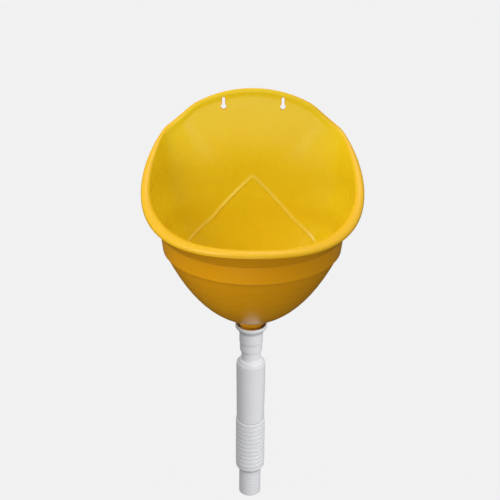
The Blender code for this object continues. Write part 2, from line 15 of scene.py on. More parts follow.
import bpy
import numpy as np
from mathutils import Euler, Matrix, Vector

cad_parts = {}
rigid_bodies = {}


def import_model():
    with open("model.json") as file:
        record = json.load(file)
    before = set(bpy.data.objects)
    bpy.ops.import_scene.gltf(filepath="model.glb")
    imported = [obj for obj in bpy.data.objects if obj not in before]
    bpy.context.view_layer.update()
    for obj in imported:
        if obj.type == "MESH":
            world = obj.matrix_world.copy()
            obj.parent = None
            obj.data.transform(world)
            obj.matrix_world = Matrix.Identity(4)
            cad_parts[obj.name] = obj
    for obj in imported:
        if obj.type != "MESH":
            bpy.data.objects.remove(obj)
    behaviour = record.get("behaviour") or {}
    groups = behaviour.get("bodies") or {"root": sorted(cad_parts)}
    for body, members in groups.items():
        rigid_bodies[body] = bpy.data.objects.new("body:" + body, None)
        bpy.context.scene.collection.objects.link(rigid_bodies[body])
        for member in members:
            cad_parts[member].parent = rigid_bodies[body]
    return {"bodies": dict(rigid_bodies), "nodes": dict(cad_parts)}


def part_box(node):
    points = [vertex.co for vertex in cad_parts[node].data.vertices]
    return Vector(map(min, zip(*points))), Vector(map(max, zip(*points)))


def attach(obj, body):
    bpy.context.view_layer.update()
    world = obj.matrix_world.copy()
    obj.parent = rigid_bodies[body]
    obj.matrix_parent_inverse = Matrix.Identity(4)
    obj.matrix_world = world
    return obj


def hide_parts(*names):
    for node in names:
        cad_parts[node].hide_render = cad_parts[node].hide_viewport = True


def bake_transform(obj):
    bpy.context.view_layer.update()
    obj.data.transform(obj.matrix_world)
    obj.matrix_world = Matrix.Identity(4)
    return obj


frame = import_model()

log = logging.getLogger("drain_bowl")

Array = np.ndarray
Colour = tuple[float, float, float]
Corner = tuple[float, float, float]
MM = 0.001
GAP = 0.3 * MM          # clearance between neighbouring pieces


class Slot(Enum):
    """The record's material slots."""

    YELLOW = "yellow"
    WHITE = "white"
    SLEEVE = "sleeve"
    BELLOWS = "bellows"
    RUBBER = "rubber"
    SILICONE = "silicone"


class Field(Enum):
    """Point attributes that a piece's finish reads."""

    # Rubs on the rim, and a painted highlight along the wedge's bead.
    RUB_AND_HIGHLIGHT = "rub_and_highlight"
    # Painted shade in creases, grooves, joints and recesses.
    CREASE = "crease_shade"
    # Share of the painted lit inside colour, over the darker colour painted outside as shade.
    LIT_INSIDE = "inner"


# ---------------------------------------------------------------- outlines and meshes


def smooth_step(value: Array) -> Array:
    """0 below 0, 1 above 1, and 3 v^2 - 2 v^3 between them."""
    value = np.clip(value, 0.0, 1.0)
    return value * value * (3.0 - 2.0 * value)


def soft_minimum(first: Array, second: Array, softness: float) -> Array:
    """The lesser of two lengths, less a quarter of their squared overlap where they are close."""
    overlap = np.clip(softness - np.abs(first - second), 0.0, None) / softness
    return np.minimum(first, second) - overlap * overlap * softness / 4.0


def rounded(corners: Array, fillets: Sequence[float], steps: int = 6, closed: bool = True) -> Array:
    """An outline whose corners are arcs.

    Each arc touches both of its corner's sides at the distance fillet / tan(half the corner's
    angle), which is held to 0.48 of the shorter side. Its points are the spherical blend
    (sin((1 - k) t) a + sin(k t) b) / sin t of the two spokes a and b that are t apart.

    Args:
        corners: Points of shape (corners, ..., 2), all outlines of one family at once.
        fillets: The radius of each corner's arc.
        steps: Points on each arc.
        closed: Whether the last corner leads back to the first. If not, both ends stay as they are.

    Returns:
        Points of shape (corners * steps, ..., 2).
    """
    shape = (-1,) + (1,) * (corners.ndim - 1)
    back = np.roll(corners, 1, axis=0) - corners
    ahead = np.roll(corners, -1, axis=0) - corners
    back_length = np.linalg.norm(back, axis=-1, keepdims=True) + 1e-9
    ahead_length = np.linalg.norm(ahead, axis=-1, keepdims=True) + 1e-9
    back = back / back_length
    ahead = ahead / ahead_length
    cosine = np.clip(np.sum(back * ahead, axis=-1, keepdims=True), -0.99999, 0.99999)
    half = np.arccos(cosine) / 2.0
    wanted = np.array(fillets, float).reshape(shape) / np.tan(half)
    reach = np.minimum(wanted, 0.48 * np.minimum(back_length, ahead_length))
    radius = np.maximum(reach * np.tan(half), 1e-9)
    middle = (back + ahead) / np.maximum(np.linalg.norm(back + ahead, axis=-1, keepdims=True), 1e-9)
    centre = corners + middle * reach / np.cos(half)
    first = (corners + back * reach - centre) / radius
    last = (corners + ahead * reach - centre) / radius
    turn = np.pi - 2.0 * half
    share = np.linspace(0.0, 1.0, steps).reshape((1, -1) + (1,) * (corners.ndim - 1))
    turn, first, last = turn[:, None], first[:, None], last[:, None]
    arc = (np.sin((1.0 - share) * turn) * first + np.sin(share * turn) * last) / np.sin(turn)
    points = centre[:, None] + radius[:, None] * arc
    if not closed:
        points[0] = corners[0]
        points[-1] = corners[-1]
    return points.reshape((-1,) + corners.shape[1:])


def spaced(outline: Array, spacing: float, closed: bool = True) -> Array:
    """The outline with its long sides cut into equal parts no longer than spacing."""
    ends = np.concatenate([outline, outline[:1]]) if closed else outline
    lengths = np.linalg.norm(np.diff(ends, axis=0), axis=1)
    kept = np.concatenate([[True], lengths > 1e-7])
    ends = ends[kept]
    lengths = lengths[kept[1:]]
    parts = np.maximum(np.ceil(lengths / spacing).astype(int), 1)
    places = [i + np.arange(count) / count for i, count in enumerate(parts)]
    at = np.concatenate(places if closed else [*places, [len(parts)]])
    index = np.arange(len(ends))
    return np.stack([np.interp(at, index, ends[:, 0]), np.interp(at, index, ends[:, 1])], axis=1)


def turned_outline(corners: Sequence[Corner], spacing: float = 2.0 * MM, steps: int = 6) -> Array:
    """A closed outline from (radius, height, fillet) corners, ready to be turned."""
    table = np.array(corners, float)
    return spaced(rounded(table[:, :2], table[:, 2], steps), spacing)


def turned(outline: Array, sides: int, axis_y: float) -> Array:
    """Points of an outline carried round the drain axis: (r sin t, axis_y + r cos t, z)."""
    turn = np.arange(sides) * 2.0 * np.pi / sides
    radius = outline[:, :1]
    height = outline[:, 1:] + 0.0 * turn
    return np.stack([radius * np.sin(turn), axis_y + radius * np.cos(turn), height], axis=-1)


def grid_object(name: str, points: Array) -> bpy.types.Object:
    """Makes a closed solid from rings of points whose last ring meets the first.

    The face between rings i and i + 1 and columns j and j + 1 has those four points. All faces are
    turned round if the volume, a sixth of the sum of a . (b x c) over the triangles, is negative.

    Args:
        name: The piece's name.
        points: Array of shape (rings, columns, 3).

    Returns:
        The object, linked to the scene and shaded smooth.
    """
    rings, columns = points.shape[:2]
    index = np.arange(rings * columns).reshape(rings, columns)
    after = np.roll(index, -1, axis=0)
    corners = [index, np.roll(index, -1, axis=1), np.roll(after, -1, axis=1), after]
    quads = np.stack(corners, axis=-1).reshape(-1, 4)
    flat = points.reshape(-1, 3)
    a, b, c, d = (flat[quads[:, i]] for i in range(4))
    volume = np.sum(a * np.cross(b, c)) + np.sum(a * np.cross(c, d))
    if volume < 0.0:
        quads = quads[:, ::-1]
    mesh = bpy.data.meshes.new(name)
    mesh.from_pydata(flat.tolist(), [], quads.tolist())
    mesh.shade_smooth()
    piece = bpy.data.objects.new(name, mesh)
    bpy.context.scene.collection.objects.link(piece)
    return piece


def set_field(piece: bpy.types.Object, field: Field, values: Array) -> None:
    """Writes one number for each point, which the piece's finish reads by name."""
    attribute = piece.data.attributes.new(field.value, "FLOAT", "POINT")
    attribute.data.foreach_set("value", values.astype(np.float32).ravel())


def cut(piece: bpy.types.Object, cutters: Sequence[bpy.types.Object], sharp: float) -> None:
    """Takes cutters out of a piece for good, removes them, and marks edges over sharp degrees."""
    for cutter in cutters:
        modifier = piece.modifiers.new(cutter.name, "BOOLEAN")
        modifier.operation = "DIFFERENCE"
        modifier.solver = "EXACT"
        modifier.object = cutter
    graph = bpy.context.evaluated_depsgraph_get()
    mesh = bpy.data.meshes.new_from_object(piece.evaluated_get(graph))
    piece.modifiers.clear()
    old, piece.data = piece.data, mesh
    bpy.data.meshes.remove(old)
    mesh.name = piece.name
    mesh.shade_smooth()
    mesh.set_sharp_from_angle(angle=math.radians(sharp))
    for cutter in cutters:
        bpy.data.meshes.remove(cutter.data)


# ---------------------------------------------------------------- finishes


class Socket:
    """An output in a material's node tree. Arithmetic on it adds Math nodes."""

    def __init__(self, graph: "Graph", link: bpy.types.NodeSocket) -> None:
        """Keeps the output and the tree that it is in."""
        self.graph = graph
        self.link = link

    def __add__(self, other: "Value") -> "Socket":
        """The sum."""
        return self.graph.math("ADD", self, other)

    def __sub__(self, other: "Value") -> "Socket":
        """The difference."""
        return self.graph.math("SUBTRACT", self, other)

    def __rsub__(self, other: "Value") -> "Socket":
        """The difference, taken from a number."""
        return self.graph.math("SUBTRACT", other, self)

    def __mul__(self, other: "Value") -> "Socket":
        """The product."""
        return self.graph.math("MULTIPLY", self, other)

    __radd__ = __add__
    __rmul__ = __mul__


Value = Socket | float


class Graph:
    """A node tree, with one way to add every node."""

    def __init__(self, tree: bpy.types.NodeTree) -> None:
        """Keeps the tree."""
        self.tree = tree

    def node(
        self,
        kind: str,
        settings: Mapping[str, object] | None = None,
        inputs: Mapping[str | int, object] | None = None,
        output: str | int = 0,
    ) -> Socket:
        """Adds one node.

        Args:
            kind: The node's type.
            settings: Properties that are set first, such as a Math node's operation.
            inputs: Values or Sockets for the node's inputs, by name or index.
            output: The name or index of the output that is wanted.

        Returns:
            That output.
        """
        node = self.tree.nodes.new(kind)
        for key, value in (settings or {}).items():
            setattr(node, key, value)
        for key, value in (inputs or {}).items():
            self.feed(node.inputs[key], value)
        return Socket(self, node.outputs[output])

    def feed(self, socket: bpy.types.NodeSocket, value: object) -> None:
        """Links a Socket to an input, or sets the input's own value."""
        if isinstance(value, Socket):
            self.tree.links.new(value.link, socket)
        elif isinstance(value, tuple) and socket.type == "RGBA":
            socket.default_value = (*value, 1.0)
        else:
            socket.default_value = value

    def math(self, operation: str, first: Value, second: Value) -> Socket:
        """One Math node on two values."""
        return self.node("ShaderNodeMath", {"operation": operation}, {0: first, 1: second})

    def ramp(self, value: Socket, low: float, high: float) -> Socket:
        """0 up to low, 1 from high on, and a straight line between them."""
        inputs = {"Value": value, "From Min": low, "From Max": high}
        return self.node("ShaderNodeMapRange", {"clamp": True}, inputs)

    def mix(self, share: Value, first: object, second: object) -> Socket:
        """The colour first, going over to second as share goes to 1."""
        return self.node("ShaderNodeMix", {"data_type": "RGBA"}, {0: share, 6: first, 7: second}, 2)


class Finish(Graph):
    """The node tree of one new material, with a Principled shader and object coordinates."""

    def __init__(self, name: str) -> None:
        """Makes the material and finds its shader."""
        self.material = bpy.data.materials.new(name)
        self.material.use_nodes = True
        super().__init__(self.material.node_tree)
        self.shader = self.tree.nodes["Principled BSDF"]
        self.place = self.node("ShaderNodeTexCoord", output="Object")

    def noise(self, scale: float, detail: float = 2.0, stretch: Colour = (1.0, 1.0, 1.0)) -> Socket:
        """Noise from 0 to 1 whose features are 1 / scale metres, more where stretch is below 1."""
        settings = {"vector_type": "POINT"}
        vector = self.node("ShaderNodeMapping", settings, {"Vector": self.place, "Scale": stretch})
        return self.node("ShaderNodeTexNoise", inputs={"Vector": vector, "Scale": scale, "Detail": detail})

    def field(self, field: Field) -> Socket:
        """A point attribute of the piece."""
        return self.node("ShaderNodeAttribute", {"attribute_name": field.value}, output="Fac")

    def bumps(self, layers: Sequence[tuple[Socket, float]]) -> None:
        """Feeds the shader's normal from heights, each a Socket and its depth in metres."""
        normal: Socket | None = None
        for height, depth in layers:
            inputs: dict[str | int, object] = {"Height": height, "Distance": depth, "Strength": 1.0}
            if normal is not None:
                inputs["Normal"] = normal
            normal = self.node("ShaderNodeBump", inputs=inputs)
        if normal is not None:
            self.feed(self.shader.inputs["Normal"], normal)

    def shade(self, **inputs: object) -> bpy.types.Material:
        """Sets or links the shader's inputs, named with _ for a space, and gives the material."""
        for key, value in inputs.items():
            self.feed(self.shader.inputs[key.replace("_", " ")], value)
        return self.material


@dataclass(frozen=True)
class GlossyShell:
    """Thick glossy moulded plastic: slow colour drift, faint waves, an orange-peel skin, fine rubs."""

    name: str = "glossy_yellow_plastic"
    # Painted light: the inner colours are a lighter lit copy of the yellow, the outer colours a darker copy
    # in shade.
    inner: Colour = (0.82, 0.585, 0.010)
    inner_deep: Colour = (0.78, 0.535, 0.007)
    outer: Colour = (0.77, 0.345, 0.003)
    outer_deep: Colour = (0.72, 0.300, 0.002)
    # Lighter colour for rubs on the rim, and for the painted highlight along the wedge's bead.
    rub_and_highlight: Colour = (0.92, 0.70, 0.100)
    roughness: float = 0.27

    def material(self) -> bpy.types.Material:
        """The finish as a material.

        The inner field lays the lighter lemon colour, painted light for the lit inside, over the darker
        golden colour painted outside as shade. Both go to their deep colour with two sizes of noise, and
        as painted shade in creases. Both go toward the lighter colour where the rub and highlight field is
        high: rubs on the rim and a painted highlight on the wedge's bead. Rubs and smudges dull the gloss.
        """
        graph = Finish(self.name)
        drift = graph.noise(9.0, 3.0) * 0.6 + graph.noise(55.0, 4.0) * 0.4
        # Painted shade: the crease field pulls both colours toward their deep colour.
        crease_shade = graph.field(Field.CREASE)
        depth = graph.ramp(drift, 0.35, 0.70) * 0.55 + crease_shade * 0.45
        inner = graph.mix(depth, self.inner, self.inner_deep)
        outer = graph.mix(depth, self.outer, self.outer_deep)
        # Painted light: the lit lemon colour inside and on the crest, the shaded golden colour outside.
        plain = graph.mix(graph.field(Field.LIT_INSIDE), outer, inner)
        scuff = graph.ramp(graph.noise(90.0, 6.0), 0.45, 0.75)
        # Rubs on the rim and the painted highlight on the bead.
        rub_and_highlight_share = graph.field(Field.RUB_AND_HIGHLIGHT) * (scuff * 0.3 + 0.7)
        smudge = graph.ramp(graph.noise(22.0, 5.0), 0.45, 0.75)
        graph.bumps([
            (graph.noise(11.0, 1.0), 0.22 * MM),
            (graph.noise(460.0, 2.0), 0.008 * MM),
        ])
        return graph.shade(
            Base_Color=graph.mix(rub_and_highlight_share * 0.75, plain, self.rub_and_highlight),
            Roughness=smudge * 0.06 + rub_and_highlight_share * 0.03 + crease_shade * 0.45 + self.roughness,
            IOR=1.42,
            Coat_Weight=0.05,
            Coat_Roughness=0.14,
        )


@dataclass(frozen=True)
class SatinPlastic:
    """Satin white plastic: fine grain, lines drawn along the pipe, painted shade in creases and dust held in
    them.
    """

    name: str
    colour: Colour = (0.80, 0.805, 0.83)
    tone_and_shade: Colour = (0.66, 0.665, 0.70)
    roughness: float = 0.36
    grain: float = 900.0
    draw: float = 0.012

    def material(self) -> bpy.types.Material:
        """The finish as a material.

        The plain colour goes toward the darker colour with slow noise, as painted shade in creases, and
        more where dust lies in those creases. Noise that is stretched twenty times along Z makes the drawn
        lines.
        """
        graph = Finish(self.name)
        drift = graph.ramp(graph.noise(24.0, 3.0), 0.35, 0.75)
        crease_shade = graph.field(Field.CREASE)
        lines = graph.noise(700.0, 2.0, (1.0, 1.0, 0.05))
        dust = graph.ramp(graph.noise(300.0, 5.0), 0.35, 0.70)
        # Painted shade in creases, with dust in them, over slow random tone.
        colour = graph.mix(drift * 0.18 + crease_shade * 0.50 + crease_shade * dust * 0.25, self.colour, self.tone_and_shade)
        graph.bumps([(lines, self.draw * MM), (graph.noise(self.grain, 2.0), 0.010 * MM)])
        return graph.shade(
            Base_Color=colour,
            Roughness=dust * 0.06 + crease_shade * 0.18 + self.roughness,
            IOR=1.46,
        )


@dataclass(frozen=True)
class SoftRubber:
    """Moulded rubber or silicone: matt, with a fine grain and a pale bloom."""

    name: str
    colour: Colour
    bloom: Colour
    roughness: float
    grain: float = 1400.0

    def material(self) -> bpy.types.Material:
        """The finish as a material: noise over a threshold lays the bloom on the plain colour."""
        graph = Finish(self.name)
        bloom = graph.ramp(graph.noise(160.0, 5.0), 0.48, 0.70)
        graph.bumps([(graph.noise(self.grain, 3.0), 0.02 * MM)])
        return graph.shade(
            Base_Color=graph.mix(bloom * 0.5, self.colour, self.bloom),
            Roughness=bloom * 0.10 + self.roughness,
            IOR=1.5,
        )


@dataclass(frozen=True)
class Finishes:
    """Every finish of the object, made once."""

    yellow: bpy.types.Material
    white: bpy.types.Material
    sleeve: bpy.types.Material
    bellows: bpy.types.Material
    rubber: bpy.types.Material
    silicone: bpy.types.Material

    @classmethod
    def made(cls) -> "Finishes":
        """Makes the six materials."""
        return cls(
            yellow=GlossyShell().material(),
            white=SatinPlastic("satin_white_plastic").material(),
            sleeve=SatinPlastic("blown_white_sleeve", roughness=0.32, draw=0.02).material(),
            bellows=SatinPlastic("blown_white_bellows", roughness=0.38, grain=650.0).material(),
            rubber=SoftRubber("grey_seal_rubber", (0.26, 0.265, 0.27), (0.36, 0.36, 0.36), 0.62).material(),
            silicone=SoftRubber("milky_silicone", (0.66, 0.68, 0.70), (0.78, 0.79, 0.80), 0.42).material(),
        )


def dress(
    piece: bpy.types.Object, material: bpy.types.Material, body: str, node: str
) -> bpy.types.Object:
    """Gives a piece its looks and its place in the assembly.

    Args:
        piece: The finished piece.
        material: Its finish.
        body: The body that it rides on, or nothing, and then it rides on no body.
        node: The CAD node that it stands for.

    Returns:
        The piece.
    """
    piece.data.materials.clear()
    piece.data.materials.append(material)
    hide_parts(node)
    if body:
        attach(piece, body)
    log.info("%s: %d faces, body %s", piece.name, len(piece.data.polygons), body or "two, blended")
    return piece


# ---------------------------------------------------------------- the bowl


@dataclass(frozen=True)
class Span:
    """Where a turned CAD node stands about the drain axis."""

    top: float
    end: float
    radius: float

    @classmethod
    def of(cls, node: str) -> "Span":
        """Reads it from the frame."""
        low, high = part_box(node)
        return cls(high.z, low.z, (high.x - low.x) / 2.0)


@dataclass
class Bowl:
    """The one-piece moulded bowl: back plate with keyholes, rolled rim, stepped body and spigot."""

    wall: float = 3.0 * MM
    wall_radius: float = 151.0 * MM
    wall_flare: float = 2.5
    rim_crest: float = 6.0 * MM
    rim_depth: float = 8.6 * MM
    rim_blend: float = 18.0 * MM
    rim_curve: float = 1.9
    front_edge: float = -138.0 * MM
    front_lift: float = 3.5 * MM
    front_tuck: float = 5.0 * MM
    arc_radius: float = 181.0 * MM
    plate_crest: float = 1.2 * MM
    plate_bead: float = 2.0 * MM
    corner_turn: float = 0.20
    upper_step: float = -158.0 * MM
    upper_radii: tuple[float, float] = (138.2 * MM, 136.2 * MM)
    lower_step: float = -188.0 * MM
    lower_radii: tuple[float, float] = (132.8 * MM, 130.2 * MM)
    bottom: float = -320.0 * MM
    bottom_cone: float = 0.385
    inner_draft: float = 0.13
    inner_bend: tuple[float, float] = (1.9 * MM, 18.0 * MM)
    inner_opening: tuple[float, float] = (-165.0 * MM, 65.0 * MM)
    corner_blend: float = 30.0 * MM
    corner_low: float = 34.0 * MM
    wedge_apex: float = -113.0 * MM
    wedge_spread: float = 1.06
    wedge_lean: float = 0.05
    wedge_ledge: float = 1.0 * MM
    bead_height: float = 1.6 * MM
    bead_width: float = 2.1 * MM
    curl_depth: float = 60.0 * MM
    curl_reach: float = 36.0 * MM
    curl_turn: float = math.radians(9.5)
    spigot_radius: float = 16.5 * MM
    spigot_bore: float = 13.5 * MM
    root_radius: float = 20.5 * MM
    root_end: float = -319.0 * MM
    seat_radius: float = 20.5 * MM
    seat_z: float = -311.5 * MM
    seat_depth: float = 2.2 * MM
    hole_spacing: float = 89.4 * MM
    head_radius: float = 4.1 * MM
    head_z: float = -2.9 * MM
    slot_radius: float = 2.3 * MM
    slot_top: float = 11.6 * MM
    # Share of the painted lit inside colour that is laid on the rim.
    rim_lit_share: float = 0.40
    half_columns: int = 100
    inside_share: float = 0.30

    def __post_init__(self) -> None:
        """Takes the outer sizes from the frame."""
        low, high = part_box("bowl_shell")
        collar_low, collar_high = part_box("coupling_collar")
        self.rim_radius = (high.x - low.x) / 2.0
        self.axis_y = (collar_low.y + collar_high.y) / 2.0
        self.arc_z = high.z - self.arc_radius
        self.spigot_end = low.z
        self.corner = math.acos(-self.axis_y / self.rim_radius)
        corner_x = self.rim_radius * math.sin(self.corner)
        corner_z = self.arc_z + math.sqrt(self.arc_radius**2 - corner_x**2)
        self.rim_rise = corner_z - self.plate_crest - self.front_edge

    # The columns. Round the back they crowd together along the wedge's two edges.

    def edge_turn(self, height: Array) -> Array:
        """Turn from the back at which the wedge's edge lies, for each height.

        On the flat back the edge is wedge_spread times its depth below the apex to the side. Below
        curl_depth it curls forward round the corner by the square of the further depth.
        """
        depth = np.clip(self.wedge_apex - height, 0.0, None)
        curl = np.clip(depth - self.curl_depth, 0.0, None) / self.curl_reach
        return np.arctan(self.wedge_spread * depth / -self.axis_y) + self.curl_turn * curl * curl

    def columns(self, edge: Array) -> Array:
        """Turns of all columns for rings whose wedge edge is at edge, shape (rings, columns).

        With m the column's share of half the ring, the turn is a quadratic in m that slows down
        toward the edge, and past it another quadratic that speeds up again toward the front.
        """
        edge = np.clip(edge, 0.12, 1.25).reshape(-1, 1)
        share = (np.arange(self.half_columns) + 0.5) / self.half_columns
        before = np.clip(share / self.inside_share, 0.0, 1.0)
        after = np.clip((share - self.inside_share) / (1.0 - self.inside_share), 0.0, 1.0)
        slow = 0.4 * before + 0.6 * (1.0 - (1.0 - before) ** 2)
        fast = 0.25 * after + 0.75 * after**2
        half = edge * slow + (np.pi - edge) * fast
        return np.concatenate([half, -half[:, ::-1]], axis=1)

    def wall_columns(self, share: Array, floor: float, climb: Callable[[Array], Array]) -> Array:
        """Columns for rings that climb toward the rim.

        The wedge's edge is found by putting the height that each ring has at its last guess back
        into edge_turn, sixteen times over, and taking the middle of the old and new turn.

        Args:
            share: How far up each ring is, from 0 at floor to 1 at the rim.
            floor: Height of the level ring that they start from.
            climb: Height of the rim's edge, as a function of the turn.

        Returns:
            Turns of shape (rings, columns).
        """
        edge = np.full(len(share), 0.12)
        for _ in range(16):
            height = floor + share * (climb(edge) - floor)
            edge = (edge + np.clip(self.edge_turn(height), 0.12, 1.25)) / 2.0
        return self.columns(edge)

    # The surfaces.

    def plane_radius(self, turn: Array, height: Array, inset: float) -> Array:
        """Distance from the drain axis to the flat back.

        Inside the wedge the back leans forward by wedge_lean times the depth below the apex, which
        falls to nothing at the wedge's edges as a parabola, and by the height of the ledge.
        """
        toward_wall = np.cos(turn)
        facing = toward_wall > 0.05
        safe = np.where(facing, toward_wall, 1.0)
        across = (-self.axis_y - inset) / safe * np.sin(turn)
        depth = np.clip(self.wedge_apex - height, 0.0, None)
        edge = np.maximum(self.wedge_spread * depth, 1e-6)
        lean = self.wedge_lean * depth * np.clip(1.0 - (across / edge) ** 2, 0.0, None)
        lean = lean + self.wedge_ledge * smooth_step((edge - np.abs(across)) / (3.0 * MM))
        return np.where(facing, (-self.axis_y - inset - lean) / safe, 1.0)

    def ridge(self, turn: Array, height: Array) -> Array:
        """Height of the rounded bead on the wedge's edge: a bell curve across the edge's line.

        The line falls at about 45 degrees, so the distance to it is the sideways one over the root
        of 2. The bead fades out round the corner of the bowl.
        """
        radius = 0.112
        aside = (np.abs(turn) - self.edge_turn(height)) * radius / math.sqrt(2.0)
        fade = 1.0 - smooth_step((np.abs(turn) - math.radians(52.0)) / math.radians(20.0))
        start = smooth_step((self.wedge_apex + 1.0 * MM - height) / (3.0 * MM))
        return self.bead_height * fade * start * np.exp(-((aside / self.bead_width) ** 2))

    def upper_radius(self, height: Array) -> Array:
        """Outside radius above the upper step: a straight flare, then a power of the climb."""
        widen = (height - self.upper_step) / (self.front_edge - self.upper_step)
        low = self.upper_radii[0] + (self.wall_radius - self.upper_radii[0]) * np.clip(widen, 0.0, 1.0)
        rise = np.clip((height - self.front_edge) / self.rim_rise, 0.0, 1.0)
        return low + (self.rim_radius - self.wall_radius) * rise**self.wall_flare

    def inner_radius(self, height: Array) -> Array:
        """Inside radius above the bottom: a drafted wall that opens in an S toward the rim.

        The foot of the wall bends into the bottom by a cubic. The opening share then goes from
        that wall to the flared one.
        """
        foot_radius, foot_z = self.inside_curve()[0]
        climb = height - foot_z
        bend = 1.0 - (1.0 - np.clip(climb / self.inner_bend[1], 0.0, 1.0)) ** 3
        low = foot_radius + self.inner_draft * climb + self.inner_bend[0] * bend
        rise = np.clip((height - self.front_edge) / self.rim_rise, 0.0, 1.0)
        flare = (self.rim_radius - self.wall_radius) * rise**self.wall_flare
        opening = smooth_step((height - self.inner_opening[0]) / self.inner_opening[1])
        return low * (1.0 - opening) + (self.wall_radius + flare - self.wall) * opening

    def corner_softness(self, height: Array) -> Array:
        """Softness of the corner between back and sides: it grows by corner_low going down."""
        return self.corner_blend + self.corner_low * smooth_step((-0.03 - height) / 0.10)

    def rim_edge(self, turn: Array) -> tuple[Array, Array, Array, Array]:
        """The rim's widest edge: its radius, its height, the crest above it, how far on the plate.

        The radius is the soft minimum of the rim's circle and the wall plane. The height is a power
        of the distance from the front, and on the plate an arc. The middle of the front is tucked in
        and lifted by a cosine to the power of 6. The crest sinks as the rim narrows.
        """
        front_middle = np.clip(-np.cos(turn), 0.0, 1.0) ** 6
        circle = self.rim_radius - self.front_tuck * front_middle
        radius = soft_minimum(circle, self.flat_radius(turn), self.rim_blend)
        x = radius * np.sin(turn)
        y = self.axis_y + radius * np.cos(turn)
        front = self.axis_y - self.rim_radius
        climb = self.front_edge + self.rim_rise * ((y - front) / -front) ** self.rim_curve
        arc = self.arc_z + np.sqrt(np.clip(self.arc_radius**2 - x**2, 1e-6, None)) - self.plate_crest
        on_plate = smooth_step((self.corner + self.corner_turn - np.abs(turn)) / (2.0 * self.corner_turn))
        height = climb * (1.0 - on_plate) + arc * on_plate + self.front_lift * front_middle
        width = (self.rim_radius - self.upper_radius(climb)) / (self.rim_radius - self.wall_radius)
        proud = (self.rim_crest - self.plate_crest) * np.clip(width, 0.0, 1.0) * (1.0 - on_plate)
        return radius, height, self.plate_crest + proud, on_plate

    def flat_radius(self, turn: Array) -> Array:
        """Distance from the drain axis to the wall plane, with no wedge."""
        toward_wall = np.cos(turn)
        facing = toward_wall > 0.05
        return np.where(facing, -self.axis_y / np.where(facing, toward_wall, 1.0), 1.0)

    def outer(self, radius: Array, turn: Array, height: Array) -> Array:
        """The outside: the soft minimum of a round section and the flat back."""
        return soft_minimum(radius, self.plane_radius(turn, height, 0.0), self.corner_softness(height))

    def inner(self, radius: Array, turn: Array, height: Array) -> Array:
        """The inside: the same, one wall further in, with the bead along the wedge's edge."""
        plane = self.plane_radius(turn, height, self.wall)
        return soft_minimum(radius, plane, self.corner_softness(height)) - self.ridge(turn, height)

    def bottom_curve(self, shares: Array) -> Array:
        """(radius, height) of the egg-shaped bottom: a cone's part of u plus a cubic's of u^3."""
        full = self.lower_step - 2.0 * MM - self.bottom
        rise = self.bottom_cone * shares + (1.0 - self.bottom_cone) * shares**3
        return np.stack([self.lower_radii[1] * shares, self.bottom + full * rise], axis=1)

    def outside_profile(self) -> Array:
        """From the spigot's end up over both steps, as an open outline."""
        curve = self.bottom_curve(np.linspace(0.18, 1.0, 14))
        corners = np.concatenate([
            [(self.spigot_bore, self.spigot_end), (self.spigot_radius, self.spigot_end)],
            [(self.spigot_radius, self.root_end), (self.root_radius, self.root_end)],
            curve,
            [(self.lower_radii[0], self.lower_step)],
            [(self.upper_radii[1], self.upper_step - 2.0 * MM), (self.upper_radii[0], self.upper_step)],
        ])
        fillets = np.full(len(corners), 8.0 * MM)
        fillets[:5] = (0.4 * MM, 0.6 * MM, 0.4 * MM, 1.2 * MM, 2.0 * MM)
        fillets[-4:] = (0.8 * MM, 0.9 * MM, 0.8 * MM, 0.9 * MM)
        return spaced(rounded(corners, fillets, 4, closed=False), 2.6 * MM, closed=False)

    def inside_curve(self) -> Array:
        """(radius, height) down the inside of the bottom: the outside moved in by one wall."""
        curve = self.bottom_curve(np.linspace(1.0, 0.16, 15))
        along = np.gradient(curve, axis=0)
        along /= np.linalg.norm(along, axis=1, keepdims=True)
        curve = curve + self.wall * np.stack([along[:, 1], -along[:, 0]], axis=1)
        return curve[curve[:, 0] > self.seat_radius + 1.5 * MM]

    def inside_profile(self, brim: float) -> Array:
        """From brim, a height in the wall, down to the spigot's end, as an open outline."""
        curve = self.inside_curve()
        heights = np.linspace(brim, curve[0, 1], 8)[:-1]
        corners = np.concatenate([
            np.stack([self.inner_radius(heights), heights], axis=1),
            curve,
            [(self.seat_radius, self.seat_z + self.seat_depth), (self.seat_radius, self.seat_z)],
            [(self.spigot_bore, self.seat_z), (self.spigot_bore, self.spigot_end + 0.6 * MM)],
        ])
        fillets = np.full(len(corners), 8.0 * MM)
        fillets[-4:] = (0.8 * MM, 0.4 * MM, 0.8 * MM, 0.1 * MM)
        return spaced(rounded(corners, fillets, 4, closed=False), 2.6 * MM, closed=False)

